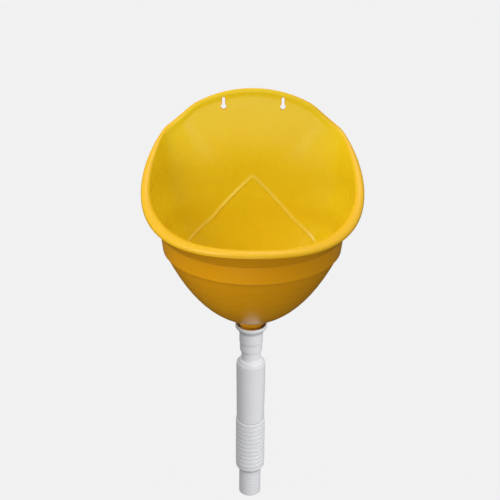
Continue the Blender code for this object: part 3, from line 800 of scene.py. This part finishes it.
    def lip(self, turn: Array) -> tuple[Array, Array]:
        """The rolled rim's section, for the columns of one ring: (radius, height) rings.

        The wall goes up inside the hollow lip, across it and down to the lip's inner edge, then
        round to its outer edge. Where the rim lies on the wall plane the hollow closes and these
        rings only follow one another up. The crest is half an ellipse.
        """
        edge_radius, shoulder_z, crest, _ = self.rim_edge(turn)
        lip_z = shoulder_z + crest - self.rim_depth
        wall_out = self.outer(self.upper_radius(shoulder_z), turn, shoulder_z)
        low_wall = self.outer(self.upper_radius(lip_z), turn, lip_z)
        hollow = smooth_step((edge_radius - wall_out - 2.0 * MM) / (6.0 * MM))
        edge_out = np.maximum(edge_radius, low_wall)
        lip_in = low_wall + (edge_out - low_wall) * 0.72
        roof = hollow * (shoulder_z - 0.5 * MM - lip_z)
        step = (1.0 - hollow) * MM
        under = np.stack([
            np.stack([low_wall, lip_z - 4.0 * step], axis=-1),
            np.stack([low_wall + (wall_out - low_wall) * hollow, lip_z - 3.0 * step + roof], axis=-1),
            np.stack([low_wall + (lip_in - low_wall) * 0.9, lip_z - 2.0 * step + roof], axis=-1),
            np.stack([lip_in, lip_z - step], axis=-1),
            np.stack([edge_out, lip_z], axis=-1),
            np.stack([edge_out, shoulder_z], axis=-1),
        ])
        fillets = (0.1 * MM, 2.0 * MM, 1.2 * MM, 0.7 * MM, 1.4 * MM, 0.1 * MM)
        section = rounded(under, fillets, 5, closed=False)[4:-4]
        swing = np.linspace(0.0, np.pi, 26)[1:, None]
        wall_in = self.inner(self.inner_radius(shoulder_z), turn, shoulder_z)
        middle = (edge_out + wall_in) / 2.0
        reach = (edge_out - wall_in) / 2.0
        radius = np.concatenate([section[..., 0], middle + reach * np.cos(swing)])
        height = np.concatenate([section[..., 1], shoulder_z + crest * np.sin(swing)])
        return radius, height

    def lip_foot(self, turn: Array) -> Array:
        """Height at which the outer wall ends under the lip, 5 mm further down on the plate."""
        _, shoulder_z, crest, on_plate = self.rim_edge(turn)
        return shoulder_z + crest - self.rim_depth - 5.0 * MM * on_plate

    def surface(self) -> tuple[Array, Array, Array, Array]:
        """Rings of the whole skin: turn, radius, height and how far inside the bowl.

        Each has the shape (rings, columns). The last is the share of the painted lit inside colour: 0
        outside, rim_lit_share from the lip's lower outer edge on, and 1 from the last rings of the crest on.
        """
        outside = self.outside_profile()
        low_turn = self.columns(self.edge_turn(outside[:, 1]))
        low_z = outside[:, 1:] + 0.0 * low_turn
        low_r = self.outer(outside[:, :1] + 0.0 * low_turn, low_turn, low_z)

        share = np.linspace(0.0, 1.0, 30)[1:-1]
        up_turn = self.wall_columns(share, self.upper_step, self.lip_foot)
        up_z = self.upper_step + share[:, None] * (self.lip_foot(up_turn) - self.upper_step)
        up_r = self.outer(self.upper_radius(up_z), up_turn, up_z)

        rim_turn = self.columns(np.array([0.12]))[0]
        rim_r, rim_z = self.lip(rim_turn)
        rim_turns = rim_turn + 0.0 * rim_r

        brim = self.upper_step + 8.0 * MM
        share = 1.0 - np.linspace(0.0, 1.0, 76)[1:-1]
        in_turn = self.wall_columns(share, brim, lambda turn: self.rim_edge(turn)[1])
        _, shoulder, _, on_plate = self.rim_edge(in_turn)
        in_z = brim + share[:, None] * (shoulder - brim)
        near = smooth_step(1.0 - (shoulder - in_z) / (12.0 * MM))
        in_r = self.inner(self.inner_radius(in_z), in_turn, in_z)
        in_r = in_r - self.plate_bead * on_plate * near

        inside = self.inside_profile(brim)
        end_turn = self.columns(self.edge_turn(inside[:, 1]))
        end_z = inside[:, 1:] + 0.0 * end_turn
        end_r = self.inner(inside[:, :1] + 0.0 * end_turn, end_turn, end_z)
        turn = np.concatenate([low_turn, up_turn, rim_turns, in_turn, end_turn])
        radius = np.concatenate([low_r, up_r, rim_r, in_r, end_r])
        height = np.concatenate([low_z, up_z, rim_z, in_z, end_z])
        # Painted light: the lit inside colour fades in over the rim, and the outside keeps the shaded colour.
        ring = np.arange(len(rim_r))
        on_rim = smooth_step((ring - 14.0) / 5.0)
        over_crest = smooth_step((ring - len(ring) + 9.0) / 8.0)
        lip_ring = self.rim_lit_share * on_rim + (1.0 - self.rim_lit_share) * over_crest
        below = np.zeros(len(low_r) + len(up_r))
        inner = np.concatenate([below, lip_ring, np.ones(len(in_r) + len(end_r))])
        return turn, radius, height, inner[:, None] + 0.0 * turn

    def keyhole(self, name: str, x: float) -> bpy.types.Object:
        """A cutter for one keyhole: a round hole with a slot above it, wider at both faces.

        The outline is the head's arc and the slot's half circle. Each ring of the cutter is that
        outline pushed outward by how much the hole's edge is rounded at that depth.
        """
        reach = math.sqrt(self.head_radius**2 - self.slot_radius**2)
        start = math.atan2(reach, self.slot_radius)
        head = np.linspace(math.pi - start, 2.0 * math.pi + start, 40)
        slot = np.linspace(0.0, math.pi, 24)
        depth = np.linspace(0.0, 1.0, 9)
        inset = self.wall + 0.3 * MM
        curve = 1.0 - np.sqrt(np.clip(1.0 - (1.0 - depth) ** 2, 0.0, None))
        softness = 0.4 * MM
        back = -depth * softness
        front = depth[::-1] * softness - inset
        y = np.concatenate([[3.0 * MM], back, front, [-inset - 3.0 * MM]])
        grow = np.concatenate([[1.0], curve, curve[::-1], [1.0]])[:, None] * softness
        head_r = self.head_radius + grow
        slot_r = self.slot_radius + grow
        across = np.concatenate([head_r * np.cos(head), slot_r * np.cos(slot)], axis=1)
        head_up = self.head_z + head_r * np.sin(head)
        slot_up = self.slot_top - self.slot_radius + slot_r * np.sin(slot)
        up = np.concatenate([head_up, slot_up], axis=1)
        rings = np.stack([x + across, y[:, None] + 0.0 * up, up], axis=-1)
        middle = np.broadcast_to(rings.mean(axis=1, keepdims=True), rings.shape)
        return grid_object(name, np.concatenate([middle[:1], rings, middle[-1:]]))

    def made(self) -> bpy.types.Object:
        """Builds the bowl, marks rubs on its rim, a painted highlight on the wedge's bead and painted shade
        in creases, and cuts the keyholes.
        """
        turn, radius, height, inner = self.surface()
        points = np.stack(
            [radius * np.sin(turn), self.axis_y + radius * np.cos(turn), height], axis=-1
        )
        piece = grid_object("bowl_moulding", points)
        rim = self.rim_edge(turn)[1]
        # The bead gets the lighter colour as a painted highlight; near the rim the field marks rubs.
        bead = np.clip(self.ridge(turn, height) / self.bead_height, 0.0, 1.0)
        rub_and_highlight = 0.12 * np.exp(-(((height - rim - 3.0 * MM) / (5.0 * MM)) ** 2)) + bead
        # Painted shade round the drain seat inside and under the outside steps.
        near_drain = np.exp(-(((radius - self.seat_radius) / (9.0 * MM)) ** 2))
        step_edges = [self.upper_step - 2.0 * MM, self.lower_step - 2.0 * MM]
        steps = sum(np.exp(-(((height - edge) / (1.2 * MM)) ** 2)) for edge in step_edges)
        set_field(piece, Field.RUB_AND_HIGHLIGHT, np.clip(rub_and_highlight, 0.0, 1.0))
        set_field(piece, Field.CREASE, np.clip(near_drain + 0.5 * steps * (1.0 - inner), 0.0, 1.0))
        set_field(piece, Field.LIT_INSIDE, inner)
        half = self.hole_spacing / 2.0
        cut(piece, [self.keyhole("left_keyhole", -half), self.keyhole("right_keyhole", half)], 50.0)
        return piece


# ---------------------------------------------------------------- the hose


@dataclass
class Coupling:
    """The flared collar that slips over the spigot, with its seals and the lock ring."""

    axis_y: float
    bore: float = 16.9 * MM
    end_bore: float = 13.5 * MM
    barrel: float = 18.4 * MM
    thread: float = 16.2 * MM
    neck: float = 15.5 * MM
    flare_wall: float = 2.6 * MM
    sides: int = 168

    def collar(self) -> bpy.types.Object:
        """The collar: a thin flared mouth, a barrel and a narrower threaded end."""
        span = Span.of("coupling_collar")
        ring = Span.of("lock_ring")
        step = ring.top + GAP
        stop = Span.of("bowl_shell").end - 1.0 * MM
        flare = span.radius
        corners = [
            (flare - self.flare_wall, span.top, 0.9 * MM),
            (flare, span.top, 0.9 * MM),
            (flare, span.top - 4.6 * MM, 1.6 * MM),
            (self.barrel, span.top - 13.5 * MM, 5.0 * MM),
            (self.barrel, step, 0.8 * MM),
            (self.thread, step, 0.2 * MM),
            (self.thread, span.end, 0.5 * MM),
            (self.end_bore, span.end, 0.4 * MM),
            (self.end_bore, stop, 0.2 * MM),
            (self.bore, stop, 0.3 * MM),
            (self.bore, span.top - 13.0 * MM, 2.0 * MM),
            (flare - self.flare_wall - 0.5 * MM, span.top - 5.2 * MM, 1.5 * MM),
        ]
        outline = turned_outline(corners, 1.6 * MM)
        piece = grid_object("collar_moulding", turned(outline, self.sides, self.axis_y))
        set_field(piece, Field.CREASE, self.crease_shade_of(outline, step))
        return piece

    def crease_shade_of(self, outline: Array, level: float) -> Array:
        """Painted shade at a joint: 1 on a turned piece's outline at level, falling off as a bell curve 1.5
        mm wide.
        """
        near = np.exp(-(((outline[:, 1] - level) / (1.5 * MM)) ** 2))
        return np.repeat(near, self.sides)

    def lock_ring(self) -> bpy.types.Object:
        """The lock ring: a smooth band with rounded edges and a lip under the slip ring."""
        span = Span.of("lock_ring")
        slip = Span.of("slip_ring")
        bore = self.thread + GAP
        lip = slip.end - GAP
        corners = [
            (bore, span.top, 0.3 * MM),
            (span.radius, span.top, 0.8 * MM),
            (span.radius, span.end + 3.0 * MM, 3.0 * MM),
            (span.radius - 0.6 * MM, span.end, 1.0 * MM),
            (self.neck, span.end, 0.3 * MM),
            (self.neck, lip, 0.3 * MM),
            (bore, lip, 0.2 * MM),
        ]
        outline = turned_outline(corners, 1.2 * MM)
        piece = grid_object("lock_ring_moulding", turned(outline, self.sides, self.axis_y))
        set_field(piece, Field.CREASE, self.crease_shade_of(outline, span.top))
        return piece

    def flat_ring(self, name: str, node: str, bore: float, fillet: float) -> bpy.types.Object:
        """A washer that fills a CAD node's box, from bore outward, with rounded edges."""
        span = Span.of(node)
        corners = [
            (bore, span.top, fillet),
            (span.radius, span.top, fillet),
            (span.radius, span.end, fillet),
            (bore, span.end, fillet),
        ]
        return grid_object(name, turned(turned_outline(corners), self.sides, self.axis_y))

    def gasket(self) -> bpy.types.Object:
        """The tapered rubber ring in the flared mouth."""
        span = Span.of("spigot_gasket")
        bore = self.bore - 0.1 * MM
        corners = [
            (bore, span.top, 0.3 * MM),
            (span.radius, span.top - 0.6 * MM, 0.3 * MM),
            (span.radius, span.top - 1.4 * MM, 0.3 * MM),
            (bore + 0.4 * MM, span.end, 0.1 * MM),
            (bore, span.end, 0.1 * MM),
        ]
        outline = turned_outline(corners, 1.0 * MM)
        return grid_object("gasket_ring", turned(outline, self.sides, self.axis_y))

    def build(self, finishes: Finishes) -> list[bpy.types.Object]:
        """Builds and dresses the collar, its seals, the slip ring and the lock ring."""
        washer = self.flat_ring("flat_washer", "union_washer", self.end_bore, 0.3 * MM)
        slip = self.flat_ring("slip_washer", "slip_ring", self.neck, 0.2 * MM)
        return [
            dress(self.collar(), finishes.white, "bowl", "coupling_collar"),
            dress(self.gasket(), finishes.rubber, "bowl", "spigot_gasket"),
            dress(washer, finishes.rubber, "bowl", "union_washer"),
            dress(slip, finishes.white, "slip", "slip_ring"),
            dress(self.lock_ring(), finishes.white, "nut", "lock_ring"),
        ]


@dataclass
class Hose:
    """The hose: neck cap, sleeve, the valve held inside, closed bellows and the smooth tail."""

    axis_y: float
    neck: float = 15.2 * MM
    neck_bore: float = 12.8 * MM
    flange: float = 1.4 * MM
    flange_radius: float = 16.0 * MM
    shoulder: float = 18.6 * MM
    sleeve_wall: float = 1.8 * MM
    sleeve_taper: float = 0.9 * MM
    skirt_gap: float = 0.4 * MM
    groove: float = 21.9 * MM
    bellows_bore: float = 18.6 * MM
    bellows_wall: float = 1.2 * MM
    bend_rings: int = 5
    stretch_rings: int = 6
    fullness: float = 9.0
    tail: float = 17.9 * MM
    tail_wall: float = 1.6 * MM
    tail_taper: float = 10.5 * MM
    ripple: float = 0.10 * MM
    ripple_length: float = 6.0 * MM
    sides: int = 168

    def cap(self) -> bpy.types.Object:
        """The neck with its flange, and the shoulder that widens in two soft steps."""
        span = Span.of("sleeve_cap")
        sleeve = Span.of("hose_sleeve")
        top = span.top
        level = Span.of("lock_ring").end - 15.2 * MM
        skirt = sleeve.radius - self.sleeve_wall - self.skirt_gap
        groove_floor = skirt - 1.2 * MM
        groove_top = sleeve.top - 4.8 * MM
        groove_end = sleeve.top - 7.2 * MM
        corners = [
            (self.neck_bore, top, 0.3 * MM),
            (self.flange_radius, top, 0.3 * MM),
            (self.flange_radius, top - self.flange, 0.2 * MM),
            (self.neck, top - self.flange, 0.3 * MM),
            (self.neck, level - 0.4 * MM, 1.6 * MM),
            (self.shoulder, level - 1.2 * MM, 1.6 * MM),
            (self.shoulder + 1.6 * MM, level - 4.9 * MM, 1.2 * MM),
            (span.radius - 0.6 * MM, level - 5.6 * MM, 2.4 * MM),
            (span.radius, sleeve.top + GAP, 0.3 * MM),
            (skirt, sleeve.top + GAP, 0.1 * MM),
            (skirt, groove_top, 0.1 * MM),
            (groove_floor, groove_top, 0.1 * MM),
            (groove_floor, groove_end, 0.1 * MM),
            (skirt, groove_end, 0.1 * MM),
            (skirt, span.end, 0.4 * MM),
            (skirt - 2.4 * MM, span.end, 0.4 * MM),
            (skirt - 2.6 * MM, level - 7.0 * MM, 3.0 * MM),
            (self.neck_bore, level - 1.0 * MM, 2.0 * MM),
        ]
        outline = turned_outline(corners, 1.6 * MM)
        piece = grid_object("neck_cap_moulding", turned(outline, self.sides, self.axis_y))
        # Painted shade under the shoulder's step.
        crease_shade = np.exp(-(((outline[:, 1] - level + 5.2 * MM) / (1.0 * MM)) ** 2))
        set_field(piece, Field.CREASE, np.repeat(crease_shade, self.sides))
        return piece

    def sleeve(self) -> bpy.types.Object:
        """The wide sleeve: a tapering tube with a rounded top edge."""
        span = Span.of("hose_sleeve")
        low = span.radius - self.sleeve_taper
        low_bore = low - self.sleeve_wall
        corners = [
            (span.radius - self.sleeve_wall, span.top, 0.3 * MM),
            (span.radius, span.top, 0.9 * MM),
            (low, span.end, 0.7 * MM),
            (low_bore, span.end, 0.3 * MM),
            (low_bore, span.end + 30.0 * MM, 9.0 * MM),
            (span.radius - self.sleeve_wall, span.top - 18.0 * MM, 9.0 * MM),
        ]
        outline = turned_outline(corners, 3.0 * MM)
        piece = grid_object("sleeve_tube", turned(outline, self.sides, self.axis_y))
        # Painted shade at both ends of the sleeve.
        ends = np.exp(-(((outline[:, 1] - span.end) / (1.5 * MM)) ** 2))
        ends += np.exp(-(((outline[:, 1] - span.top) / (0.8 * MM)) ** 2))
        set_field(piece, Field.CREASE, np.repeat(np.clip(ends, 0.0, 1.0), self.sides))
        return piece

    def seal(self) -> bpy.types.Object:
        """The O-ring in the skirt's groove: an ellipse turned about the axis."""
        span = Span.of("sleeve_oring")
        turn = np.arange(16) * np.pi / 8.0
        middle = (span.top + span.end) / 2.0
        half = (span.top - span.end) / 2.0
        across = 0.55 * MM
        radius = span.radius - across + across * np.cos(turn)
        outline = np.stack([radius, middle + half * np.sin(turn)], axis=1)
        return grid_object("sleeve_seal_ring", turned(outline, self.sides, self.axis_y))

    def seat(self, bore: float) -> bpy.types.Object:
        """The ring inside the sleeve that carries the valve."""
        span = Span.of("valve_seat")
        corners = [
            (bore, span.top, 0.3 * MM),
            (span.radius, span.top, 0.3 * MM),
            (span.radius, span.end, 0.3 * MM),
            (bore, span.end, 0.3 * MM),
        ]
        return grid_object("valve_ring", turned(turned_outline(corners), self.sides, self.axis_y))

    def valve(self) -> bpy.types.Object:
        """The soft one-way valve.

        A ring's points are (a cos t, b sin t). The half width a stays, and the half depth b falls
        from the neck's radius to 0.3 mm by a smooth step of the way down, so the tube closes.
        """
        span = Span.of("odour_valve")
        wall = 1.2 * MM
        slit = 0.3 * MM
        neck = span.radius - 4.5 * MM
        top = span.top - 1.6 * MM
        length = top - span.end
        stage = np.linspace(0.0, 1.0, 30)
        thin = neck - wall - smooth_step(stage) * (neck - wall - slit)
        straight = 0.0 * stage + neck
        wide = np.concatenate([[span.radius, span.radius, neck - wall], straight - wall, straight])
        deep = np.concatenate([wide[:3], thin, thin[::-1] + wall])
        height = np.concatenate([[top, span.top, span.top], top - stage * length, top - stage[::-1] * length])
        turn = np.arange(96) * np.pi / 48.0
        points = np.stack(
            [
                wide[:, None] * np.cos(turn),
                self.axis_y + deep[:, None] * np.sin(turn),
                height[:, None] + 0.0 * turn,
            ],
            axis=-1,
        )
        return grid_object("valve_lips", points)

    def bellows(self, name: str, node: str, rings: int) -> bpy.types.Object:
        """A run of closed rings.

        With u the share of one ring's height, its outer radius is the groove's plus the ring's
        proud height times the square root of 1 - |2u - 1|^fullness, so the rings are full and the
        grooves between them narrow. The inside follows one wall further in, down to the bore.
        """
        span = Span.of(node)
        steps = 18
        share = np.linspace(0.0, rings, rings * steps + 1)
        swell = np.sqrt(np.clip(1.0 - np.abs(2.0 * (share % 1.0) - 1.0) ** self.fullness, 0.0, None))
        height = span.top - share / rings * (span.top - span.end)
        out = self.groove + (span.radius - self.groove) * swell
        inside = self.bellows_bore + (span.radius - self.bellows_wall - self.bellows_bore) * swell
        radius = np.concatenate([out, inside[::-1]])
        outline = np.stack([radius, np.concatenate([height, height[::-1]])], axis=1)
        piece = grid_object(name, turned(outline, self.sides, self.axis_y))
        # Painted shade in the grooves between the rings.
        crease_shade = np.concatenate([(1.0 - swell) ** 1.2, (1.0 - swell[::-1]) ** 1.2])
        set_field(piece, Field.CREASE, np.repeat(crease_shade, self.sides))
        return piece

    def tail_cuff(self) -> bpy.types.Object:
        """The tail: an end ring, a taper and a plain tube with faint moulded ripples.

        The ripples are a cosine of the height, taken inward only, so the tube grows no wider.
        """
        span = Span.of("tail_cuff")
        taper = span.top - self.tail_taper
        corners = [
            (self.groove, span.top, 0.2 * MM),
            (span.radius, span.top - 0.8 * MM, 1.0 * MM),
            (span.radius, span.top - 4.0 * MM, 2.0 * MM),
            (self.tail + 0.4 * MM, taper, 3.0 * MM),
            (self.tail, taper - 4.0 * MM, 3.0 * MM),
            (self.tail, span.end, 1.4 * MM),
            (self.tail - self.tail_wall, span.end, 0.2 * MM),
            (self.tail - self.tail_wall, taper - 1.0 * MM, 3.0 * MM),
            (self.bellows_bore + 2.4 * MM, span.top - 3.0 * MM, 1.0 * MM),
            (self.bellows_bore, span.top, 0.2 * MM),
        ]
        outline = turned_outline(corners, 0.9 * MM)
        outward = outline[:, 0] > self.tail - 0.5 * MM
        plain = smooth_step((taper - 2.0 * MM - outline[:, 1]) / (4.0 * MM))
        ripple = self.ripple * np.cos(2.0 * np.pi * (outline[:, 1] - span.end) / self.ripple_length)
        outline[:, 0] += (ripple - self.ripple) * plain * outward
        piece = grid_object("tail_tube", turned(outline, self.sides, self.axis_y))
        # Painted shade at the tail's top and lower end.
        crease_shade = np.exp(-(((outline[:, 1] - span.top) / (1.0 * MM)) ** 2))
        crease_shade += 0.5 * np.exp(-(((outline[:, 1] - span.end) / (3.0 * MM)) ** 2))
        set_field(piece, Field.CREASE, np.repeat(crease_shade, self.sides))
        return piece

    def build(self, finishes: Finishes) -> list[bpy.types.Object]:
        """Builds and dresses every piece of the hose."""
        seat = self.seat(Span.of("odour_valve").radius - 4.2 * MM)
        bend = self.bellows("bend_rings", "bellows_upper", self.bend_rings)
        pull = self.bellows("pull_rings", "bellows_lower", self.stretch_rings)
        pieces = [
            dress(self.cap(), finishes.white, "hose", "sleeve_cap"),
            dress(self.sleeve(), finishes.sleeve, "hose", "hose_sleeve"),
            dress(self.seal(), finishes.rubber, "hose", "sleeve_oring"),
            dress(seat, finishes.white, "hose", "valve_seat"),
            dress(self.valve(), finishes.silicone, "hose", "odour_valve"),
            dress(bend, finishes.bellows, "", "bellows_upper"),
            dress(pull, finishes.bellows, "", "bellows_lower"),
            dress(self.tail_cuff(), finishes.white, "tail", "tail_cuff"),
        ]
        upper = Span.of("bellows_upper")
        lower = Span.of("bellows_lower")
        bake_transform(bend)
        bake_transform(pull)
        return pieces


@dataclass
class Strainer:
    """The loose strainer disc over the outlet, with six round holes and a skirt."""

    axis_y: float
    hole: float = 2.1 * MM
    middle_hole: float = 2.0 * MM
    hole_circle: float = 7.2 * MM
    skirt: float = 12.9 * MM
    skirt_wall: float = 1.4 * MM
    thickness: float = 2.0 * MM
    sides: int = 120

    def holes(self) -> list[bpy.types.Object]:
        """Six round cutters on a circle, each a turned bar closed at both ends."""
        span = Span.of("drain_strainer")
        low = span.top - 6.0 * MM
        high = span.top + 4.0 * MM
        turn = np.arange(24) * np.pi / 12.0
        bars = []
        for i in range(6):
            bearing = math.radians(60.0 * i)
            x = self.hole_circle * math.sin(bearing)
            y = self.axis_y + self.hole_circle * math.cos(bearing)
            radius = np.array([0.0, self.hole, self.hole, 0.0])[:, None]
            level = np.array([low, low, high, high])[:, None] + 0.0 * turn
            points = np.stack([x + radius * np.cos(turn), y + radius * np.sin(turn), level], axis=-1)
            bars.append(grid_object(f"strainer_hole_{i}", points))
        return bars

    def build(self, finishes: Finishes) -> bpy.types.Object:
        """Turns the disc with its skirt, cuts the holes and dresses it."""
        span = Span.of("drain_strainer")
        under = span.top - self.thickness
        corners = [
            (self.middle_hole, span.top, 0.5 * MM),
            (span.radius, span.top, 0.9 * MM),
            (span.radius, under, 0.3 * MM),
            (self.skirt, under, 0.3 * MM),
            (self.skirt, span.end, 0.5 * MM),
            (self.skirt - self.skirt_wall, span.end, 0.5 * MM),
            (self.skirt - self.skirt_wall, under, 0.5 * MM),
            (self.middle_hole, under, 0.5 * MM),
        ]
        outline = turned_outline(corners, 2.0 * MM)
        piece = grid_object("strainer_disc", turned(outline, self.sides, self.axis_y))
        cut(piece, self.holes(), 40.0)
        return dress(piece, finishes.white, "strainer", "drain_strainer")


# ---------------------------------------------------------------- the studio


@dataclass(frozen=True)
class Softbox:
    """A soft area light that faces a point of the object."""

    name: str
    place: Colour
    width: float
    height: float
    power: float
    target: Colour
    mirrored: bool = True

    def hang(self, lit: Sequence[bpy.types.Object]) -> None:
        """Adds the light, turns it to its target and has it light only the pieces in lit.

        A light that isn't mirrored lights them without showing in their gloss.
        """
        light = bpy.data.lights.new(self.name, "AREA")
        light.shape = "RECTANGLE"
        light.size = self.width
        light.size_y = self.height
        light.energy = self.power
        lamp = bpy.data.objects.new(self.name, light)
        lamp.location = self.place
        lamp.visible_glossy = self.mirrored
        away = np.array(self.target) - np.array(self.place)
        reach = math.hypot(away[0], away[1])
        pitch = math.atan2(away[2], reach) + math.pi / 2.0
        lamp.rotation_euler = Euler((pitch, 0.0, math.atan2(-away[0], away[1])))
        bpy.context.scene.collection.objects.link(lamp)
        receivers = bpy.data.collections.new(self.name + "_lit")
        for piece in lit:
            receivers.objects.link(piece)
        lamp.light_linking.receiver_collection = receivers


@dataclass
class Studio:
    """A pale floor, soft lights, a pale surround and the camera."""

    floor_z: float = -0.95
    floor_half: float = 14.0
    pale: float = 0.865
    surround_top: float = 0.95
    surround_low: float = 0.14
    mirror_top: float = 0.30
    mirror_low: float = 0.02
    camera_place: Colour = (-0.003, -1.403, 0.412)
    pitch: float = math.radians(25.0)
    roll: float = math.radians(0.5)
    focal: float = 69.12

    def floor(self) -> None:
        """A pale floor that the object's own light hardly changes, so it stays even.

        A flat grid of points, given as a closed sheet 2 mm thick.
        """
        half = self.floor_half
        ring = np.array([[-half, -half], [half, -half], [half, half], [-half, half]])
        top = np.column_stack([ring, np.full(4, self.floor_z)])
        low = np.column_stack([ring, np.full(4, self.floor_z - 2.0 * MM)])
        middle = np.broadcast_to([0.0, 0.0, self.floor_z], (4, 3))
        under = np.broadcast_to([0.0, 0.0, self.floor_z - 2.0 * MM], (4, 3))
        piece = grid_object("studio_floor", np.stack([middle, top, low, under]))
        graph = Finish("pale_floor")
        glow = (self.pale, self.pale, self.pale * 1.004)
        graph.shade(Base_Color=(0.05, 0.05, 0.05), Roughness=1.0, Emission_Color=glow, Emission_Strength=0.97)
        graph.shade(Specular_IOR_Level=0.0)
        piece.data.materials.append(graph.material)
        piece.visible_diffuse = False
        piece.visible_glossy = False

    def surround(self) -> None:
        """The world: pale above and darker toward the ground, and darker again where it mirrors."""
        world = bpy.data.worlds.new("studio_surround")
        bpy.context.scene.world = world
        world.use_nodes = True
        graph = Graph(world.node_tree)
        place = graph.node("ShaderNodeTexCoord", output="Generated")
        upward = graph.node("ShaderNodeSeparateXYZ", inputs={"Vector": place}, output="Z")
        rise = graph.ramp(upward, -0.6, 0.8)
        seen = rise * (self.surround_top - self.surround_low) + self.surround_low
        mirrored = rise * (self.mirror_top - self.mirror_low) + self.mirror_low
        gloss = graph.node("ShaderNodeLightPath", output="Is Glossy Ray")
        background = graph.tree.nodes["Background"]
        graph.feed(background.inputs["Strength"], seen + gloss * (mirrored - seen))
        graph.feed(background.inputs["Color"], (1.0, 1.0, 1.0))

    def camera(self) -> None:
        """The camera: it looks down on the bowl from the front, with a slight roll."""
        data = bpy.data.cameras.new("studio_camera")
        data.sensor_width = 36.0
        data.lens = self.focal
        camera = bpy.data.objects.new("studio_camera", data)
        camera.location = self.camera_place
        camera.rotation_mode = "ZYX"
        camera.rotation_euler = (math.pi / 2.0 - self.pitch, 0.0, self.roll)
        bpy.context.scene.collection.objects.link(camera)
        bpy.context.scene.camera = camera

    def build(self, bowl: Sequence[bpy.types.Object], hose: Sequence[bpy.types.Object]) -> None:
        """Builds the floor, surround, lights and camera.

        Args:
            bowl: Pieces that the bowl's own lights reach.
            hose: Pieces that the hose's own light reaches.
        """
        self.floor()
        self.surround()
        heart = (0.0, -0.1, -0.15)
        tube = (0.0, -0.1, -0.48)
        key = Softbox("key_softbox", (-1.5, -1.5, 1.6), 1.6, 1.2, 24.0, heart)
        front = Softbox("front_softbox", (-0.5, -2.2, -0.80), 1.6, 1.2, 16.0, heart, mirrored=False)
        low = Softbox("low_softbox", (0.08, -2.2, -0.52), 0.5, 0.3, 1.2, heart)
        side = Softbox("side_softbox", (1.3, -1.5, 0.55), 0.9, 0.9, 24.0, tube)
        top = Softbox("top_softbox", (0.2, 0.2, 1.9), 1.2, 0.8, 8.0, heart)
        key.hang(bowl)
        front.hang(bowl)
        low.hang(bowl)
        side.hang(hose)
        top.hang([*bowl, *hose])
        self.camera()
        bpy.context.scene.view_settings.view_transform = "Standard"


def clear_startup() -> None:
    """Removes whatever the startup file holds besides the frame."""
    kept = {*frame["nodes"].values(), *frame["bodies"].values()}
    for thing in list(bpy.data.objects):
        if thing not in kept:
            bpy.data.objects.remove(thing, do_unlink=True)


def main() -> None:
    """Builds the bowl, its coupling, the hose, the strainer and the studio."""
    logging.basicConfig(level=logging.INFO, format="%(message)s")
    clear_startup()
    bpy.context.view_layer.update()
    finishes = Finishes.made()
    bowl = Bowl()
    shell = dress(bowl.made(), finishes.yellow, "bowl", "bowl_shell")
    hose = Coupling(bowl.axis_y).build(finishes) + Hose(bowl.axis_y).build(finishes)
    strainer = Strainer(bowl.axis_y).build(finishes)
    Studio().build([shell, strainer], hose)


if __name__ == "__main__":
    main()
